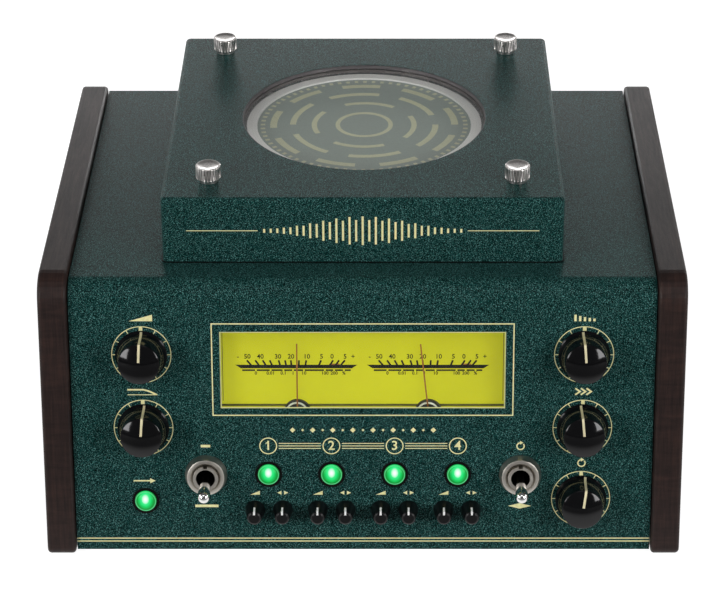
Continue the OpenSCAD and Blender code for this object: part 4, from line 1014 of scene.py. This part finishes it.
METER_W = 133 * MM
METER_H = 37.8 * MM
METER_TOP = -23 * MM
SCALE_SHIFT = -0.3 * MM
SCALE_RISE = 22.5 * MM
SCALE_HALF = 28.6 * MM
SCALE_LINE = 1.75 * MM
SCALE_SLANT = 1.5 * SCALE_LINE
SCALE_TICK = 3.1 * MM
TICK_W = 0.85 * MM
TICK_SPREAD = 25 * MM
TICKS = [-20.6, -17.1, -14.0, -11.1, -7.4, -4.7, -2.3, 1.1, 4.1, 10.3, 15.3, 17.8, 20.2]
HOT_TICKS = (15.3 * MM, 20.2 * MM)
HOT_LINE = 0.6 * MM
HOT_HIGH = 0.8 * INK_HIGH
FIGURES = {-27.3: "-", -22.9: "50", -16.8: "40", -8.6: "30", -2.5: "20", 4.9: "10", 11.8: "5", 16.7: "0",
           22.8: "5", 26.5: "+"}
FIGURE_RISE = 27.4 * MM
FIGURE_H = 2.2 * MM
FIGURE_WEIGHT = 0.05 * MM
LOW_LINE_RISE = 20.7 * MM
LOW_LINE = 0.8 * MM
LOW_LINE_HALF = 25.8 * MM
LOW_FIGURES = {-19.0: "0", -12.1: "0.01", -6.1: "0.1", -1.6: "1", 3.5: "10", 13.3: "100", 17.6: "200",
               22.2: "%"}
LOW_FIGURE_RISE = 19.2 * MM
LOW_FIGURE_H = 1.6 * MM
COIL_FRONT = 1.2 * MM
COIL_RING_R = 4.9 * MM
COIL_RING_W = 0.8 * MM
COIL_RING_T = 0.3 * MM
SHADE_ROW = -61.5 * MM
SHADE_W = 1.1 * MM
SIDE_SHADE = 0.3 * MM
EDGE_W = 0.55 * MM


def meter_print(side):
    """Black scale on the lit dial, with ticks that point at the needle's pivot."""
    pivot = POINTS[f"{side}_needle_swing"]
    face = panel_span("meter_dial")[1].z
    place = on_panel(pivot.x + SCALE_SHIFT, (pivot - CORNER).dot(UP), face)
    mesh = bmesh.new()
    low, high = SCALE_RISE - SCALE_LINE / 2, SCALE_RISE + SCALE_LINE / 2
    ends = [(-SCALE_HALF, high), (SCALE_SLANT - SCALE_HALF, low), (SCALE_HALF - SCALE_SLANT, low),
            (SCALE_HALF, high)]
    add_plate(mesh, ends, place)
    for x in TICKS:
        foot = Vector((x * MM, SCALE_RISE))
        top = foot + Vector((x * MM, TICK_SPREAD)) * SCALE_TICK / TICK_SPREAD
        add_plate(mesh, band([foot, top], TICK_W), place)
    edges = [-LOW_LINE_HALF] + [x * MM for x in LOW_FIGURES] + [LOW_LINE_HALF]
    for start, end in zip(edges, edges[1:]):
        length = end - start - LOW_LINE
        add_plate(mesh, bar((start + end) / 2, LOW_LINE_RISE, length, LOW_LINE), place)
    rows = [(FIGURES, FIGURE_RISE, FIGURE_H), (LOW_FIGURES, LOW_FIGURE_RISE, LOW_FIGURE_H)]
    for figures, rise, tall in rows:
        for x, figure in figures.items():
            add_text(mesh, figure, tall, place @ Matrix.Translation((x * MM, rise, 0)), FIGURE_WEIGHT)
    make_piece(f"{side}_meter_scale", mesh, "housing", INK)
    mesh = bmesh.new()
    start, end = HOT_TICKS
    zone = bar((start + end) / 2, high + HOT_LINE / 2, end - start, HOT_LINE)
    add_plate(mesh, zone, place, HOT_HIGH)
    make_piece(f"{side}_meter_hot_zone", mesh, "housing", RED)
    # Pale ring on the pivot cap, painted as its highlight
    mesh = bmesh.new()
    add_ring(mesh, COIL_RING_R, COIL_RING_W, place, COIL_FRONT + INK_LOW, COIL_FRONT + COIL_RING_T)
    make_piece(f"{side}_coil_ring_highlight", mesh, "housing", COIL_HIGHLIGHT)


def meter_frame():
    """Pale strips painted as the highlight along the clear window's edge, and the shaded lower edge and sides
    of the dial.
    """
    width, tall = METER_W - EDGE_W, METER_H - EDGE_W
    middle = METER_TOP - METER_H / 2
    place = on_panel(0, middle, panel_span("meter_window")[1].z)
    mesh = bmesh.new()
    for side in (-1, 1):
        add_plate(mesh, bar(side * width / 2, 0, EDGE_W, tall + EDGE_W), place)
        add_plate(mesh, bar(0, side * tall / 2, width - EDGE_W, EDGE_W), place)
    make_piece("meter_window_edge", mesh, "housing", WINDOW_EDGE_HIGHLIGHT)
    mesh = bmesh.new()
    dial_low, dial_high = panel_span("meter_dial")
    add_plate(mesh, bar(0, 0, dial_high.x - dial_low.x, SHADE_W), on_panel(0, SHADE_ROW, dial_high.z))
    for side in (-1, 1):
        x = side * (METER_W / 2 - EDGE_W - SIDE_SHADE)
        add_plate(mesh, bar(0, 0, SIDE_SHADE, tall), on_panel(x, middle + SHADE_W, dial_high.z))
    make_piece("dial_shade", mesh, "housing", SHADE)


# Drum

# Profiles of the lining that carries the painted shade on the window's wall, in mm
LINER_SHADE_UPPER = [(59.15, -2.0), (59.6, -2.0), (59.6, -0.15), (59.15, -0.15)]
LINER_SHADE_LOWER = [(59.15, -5.0), (60.0, -5.0), (60.0, -3.55), (59.15, -3.55)]


def window_liner_shade():
    """Grey lining of the round window's edge, above and below its pane, painted dark as the shade on the
    opening's wall.
    """
    low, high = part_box("window_pane")
    place = Matrix.Translation(((low.x + high.x) / 2, (low.y + high.y) / 2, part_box("drum_cover")[1].z))
    mesh = bmesh.new()
    for profile in (LINER_SHADE_UPPER, LINER_SHADE_LOWER):
        add_lathe(mesh, in_mm(profile), STEPS_MOST, place, closed=True)
    make_piece("window_liner_shade", mesh, "cover", LINER_SHADE)


# Section of the seal, as reach from the cover and height in mm. Its black is painted shadow: the dark line at
# the cover's foot
SEAL_SHADOW = [(0.05, -0.02), (0.8, -0.02), (0.8, 0.35), (0.05, 0.35)]
SEAL_SHADOW_CORNER = 2.6 * MM


def rounded_box(half_w, half_d, r):
    """Outline of a rectangle round the origin, with its corners rounded."""
    points = []
    for k, (x, y) in enumerate([(1, 1), (-1, 1), (-1, -1), (1, -1)]):
        arc = circle_points(r, k * math.pi / 2, (k + 1) * math.pi / 2, CORNER_STEPS)
        points += [(x * (half_w - r) + dx, y * (half_d - r) + dy) for dx, dy in arc]
    return points


def cover_seal_shadow():
    """Thin black seal on the deck, round the cover's foot, painted black as the shadow line there."""
    low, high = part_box("drum_cover")
    place = Matrix.Translation(((low.x + high.x) / 2, (low.y + high.y) / 2, low.z))
    half_w, half_d = (high.x - low.x) / 2, (high.y - low.y) / 2
    mesh = bmesh.new()
    rings = []
    for reach, z in in_mm(SEAL_SHADOW):
        outline = rounded_box(half_w + reach, half_d + reach, SEAL_SHADOW_CORNER + reach)
        rings.append([mesh.verts.new(place @ Vector((x, y, z))) for x, y in outline])
    count = len(outline)
    for ring, after in zip(rings, rings[1:] + rings[:1]):
        for k in range(count):
            mesh.faces.new([ring[k], ring[(k + 1) % count], after[(k + 1) % count], after[k]])
    make_piece("cover_seal_shadow", mesh, "housing", BEZEL_BLACK)


# Broken rings on the disc: radius and width in mm, number of pieces, share of the ring that they fill
MOTIF_RINGS = [(44.5, 3.4, 9, 0.62), (35.0, 3.0, 6, 0.7), (24.5, 2.6, 4, 0.66)]
MOTIF_SHIFT = 0.3
HUB_RING_R = 13 * MM
HUB_RING_W = 2.2 * MM
STROBE_R = 49.8 * MM
STROBE_COUNT = 72
STROBE_MARK = (1.8 * MM, 2.2 * MM)


def drum_motif():
    """Plain broken rings on the disc, which show its turning."""
    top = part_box("drum_disc")[1].z
    place = Matrix.Translation((DRUM_AXIS.x, DRUM_AXIS.y, top))
    mesh = bmesh.new()
    for k, (r, width, count, share) in enumerate(MOTIF_RINGS):
        for n in range(count):
            start = 2 * math.pi * (n + MOTIF_SHIFT * k) / count
            arc = circle_points(r * MM, start, start + 2 * math.pi * share / count, ARC_STEPS)
            add_plate(mesh, band(arc, width * MM), place)
    for n in range(STROBE_COUNT):
        turn = place @ Matrix.Rotation(2 * math.pi * n / STROBE_COUNT, 4, "Z")
        add_plate(mesh, bar(0, STROBE_R, *STROBE_MARK), turn)
    add_ring(mesh, HUB_RING_R, HUB_RING_W, place)
    make_piece("drum_motif", mesh, "drum", OLIVE)


# Camera, light and floor

CAMERA_X = 12.38 * MM
CAMERA_BACK = 1050.26 * MM
CAMERA_RISE = 587.45 * MM
CAMERA_PITCH = math.radians(29.74)
LENS = 130.735
SHIFT = (-0.0408, 0.0171)
SENSOR = 36
FAR_CLIP = 20


def camera():
    data = bpy.data.cameras.new("camera")
    data.lens = LENS
    data.sensor_fit = "HORIZONTAL"
    data.sensor_width = SENSOR
    data.shift_x, data.shift_y = SHIFT
    data.clip_end = FAR_CLIP
    holder = add_object("camera", data)
    holder.location = (CAMERA_X, CORNER.y - CAMERA_BACK, CORNER.z + CAMERA_RISE)
    holder.rotation_euler = (math.pi / 2 - CAMERA_PITCH, 0, 0)
    bpy.context.scene.camera = holder


# Softboxes: name, place, what they point at, size and power
MIDDLE = (0, 0, 0.1)
SOFTBOXES = [
    ("front_left", (-0.9, -0.85, 0.5), MIDDLE, (0.45, 0.5), 7.6),
    ("side_left", (-1.2, -0.05, 0.58), MIDDLE, (0.4, 0.4), 1.8),
    ("front_right", (0.9, -0.85, 0.5), MIDDLE, (0.45, 0.5), 7.6),
    ("side_right", (1.2, -0.05, 0.58), MIDDLE, (0.4, 0.4), 1.8),
    ("rear", (0, 1.3, 0.25), (0, 0.1, 0.08), (1.0, 0.3), 7),
    ("top", (0, -1.0, 1.5), MIDDLE, (0.9, 0.35), 2.6),
]
# The world's plain level, the grey that its dome shows, and where white turns into that grey
AMBIENT = 0.08
DOME_GREY = 0.17
HORIZON_TOP = 0.06
DOME_LOW = 0.66
FRONT_END = -0.6
FRONT_START = -0.1


def studio():
    """Soft light from all sides. The background is white up to the horizon, and grey over it and in front."""
    for name, place, target, size, power in SOFTBOXES:
        data = bpy.data.lights.new(name, "AREA")
        data.shape = "RECTANGLE"
        data.size, data.size_y = size
        data.energy = power
        lamp = add_object(name, data)
        lamp.location = place
        lamp.rotation_euler = (Vector(target) - Vector(place)).to_track_quat("-Z", "Y").to_euler()
    world = bpy.data.worlds.new("studio")
    bpy.context.scene.world = world
    world.use_nodes = True
    nodes = Nodes(world.node_tree)
    plain = nodes.tree.nodes["Background"]
    nodes.feed(plain.inputs["Color"], (1, 1, 1))
    nodes.feed(plain.inputs["Strength"], AMBIENT)
    level = nodes.fade(nodes.part("Generated", "Z"), DOME_LOW, HORIZON_TOP)
    behind = nodes.fade(nodes.part("Generated", "Y"), FRONT_END, FRONT_START)
    white = nodes.math("MULTIPLY", level, behind)
    dome = nodes.add("ShaderNodeMix", {0: white, 2: DOME_GREY, 3: 1.0})
    shown = nodes.add("ShaderNodeBackground", {"Strength": dome.outputs[0]})
    nodes.show("World Output", nodes.seen(), plain.outputs[0], shown.outputs[0])


FLOOR_HALF = 4.0
FLOOR_GLOW = 0.93
GLOW_END = -0.25
GLOW_START = -0.165


def floor():
    """A pale floor that shows white, keeps a soft shadow and mirrors as plain grey far in front."""
    mesh = bmesh.new()
    corners = [(-1, -1), (1, -1), (1, 1), (-1, 1)]
    mesh.faces.new([mesh.verts.new((x * FLOOR_HALF, y * FLOOR_HALF, 0)) for x, y in corners])
    finish = Finish("pale_floor", (0.3, 0.3, 0.3), 0.9, Specular_IOR_Level=0.1)
    reach = finish.fade(finish.part("Object", "Y"), GLOW_END, GLOW_START)
    reach = finish.math("MAXIMUM", reach, finish.ray("Is Camera Ray"))
    links = {"Color": (1, 1, 1), "Strength": finish.math("MULTIPLY", reach, FLOOR_GLOW)}
    glow = finish.add("ShaderNodeEmission", links)
    plain = finish.shader.outputs[0]
    lit = finish.add("ShaderNodeAddShader", {0: plain, 1: glow.outputs[0]})
    finish.show("Material Output", finish.seen(), plain, lit.outputs[0])
    plane = mesh_object("floor", mesh, finish.material)


bpy.context.scene.view_settings.view_transform = "Standard"
camera()
studio()
floor()
dress_nodes()
for knob in LARGE_KNOBS:
    large_knob(knob)
for knob in SMALL_KNOBS:
    small_knob(knob)
for side in SIDES:
    toggle_lever(side)
    meter_print(side)
for button in BUTTONS:
    lit_button(button)
for screw in THUMBSCREWS:
    thumbscrew(screw)
panel_nuts()
meter_frame()
window_liner_shade()
cover_seal_shadow()
control_print()
panel_trim()
cover_ornament()
drum_motif()
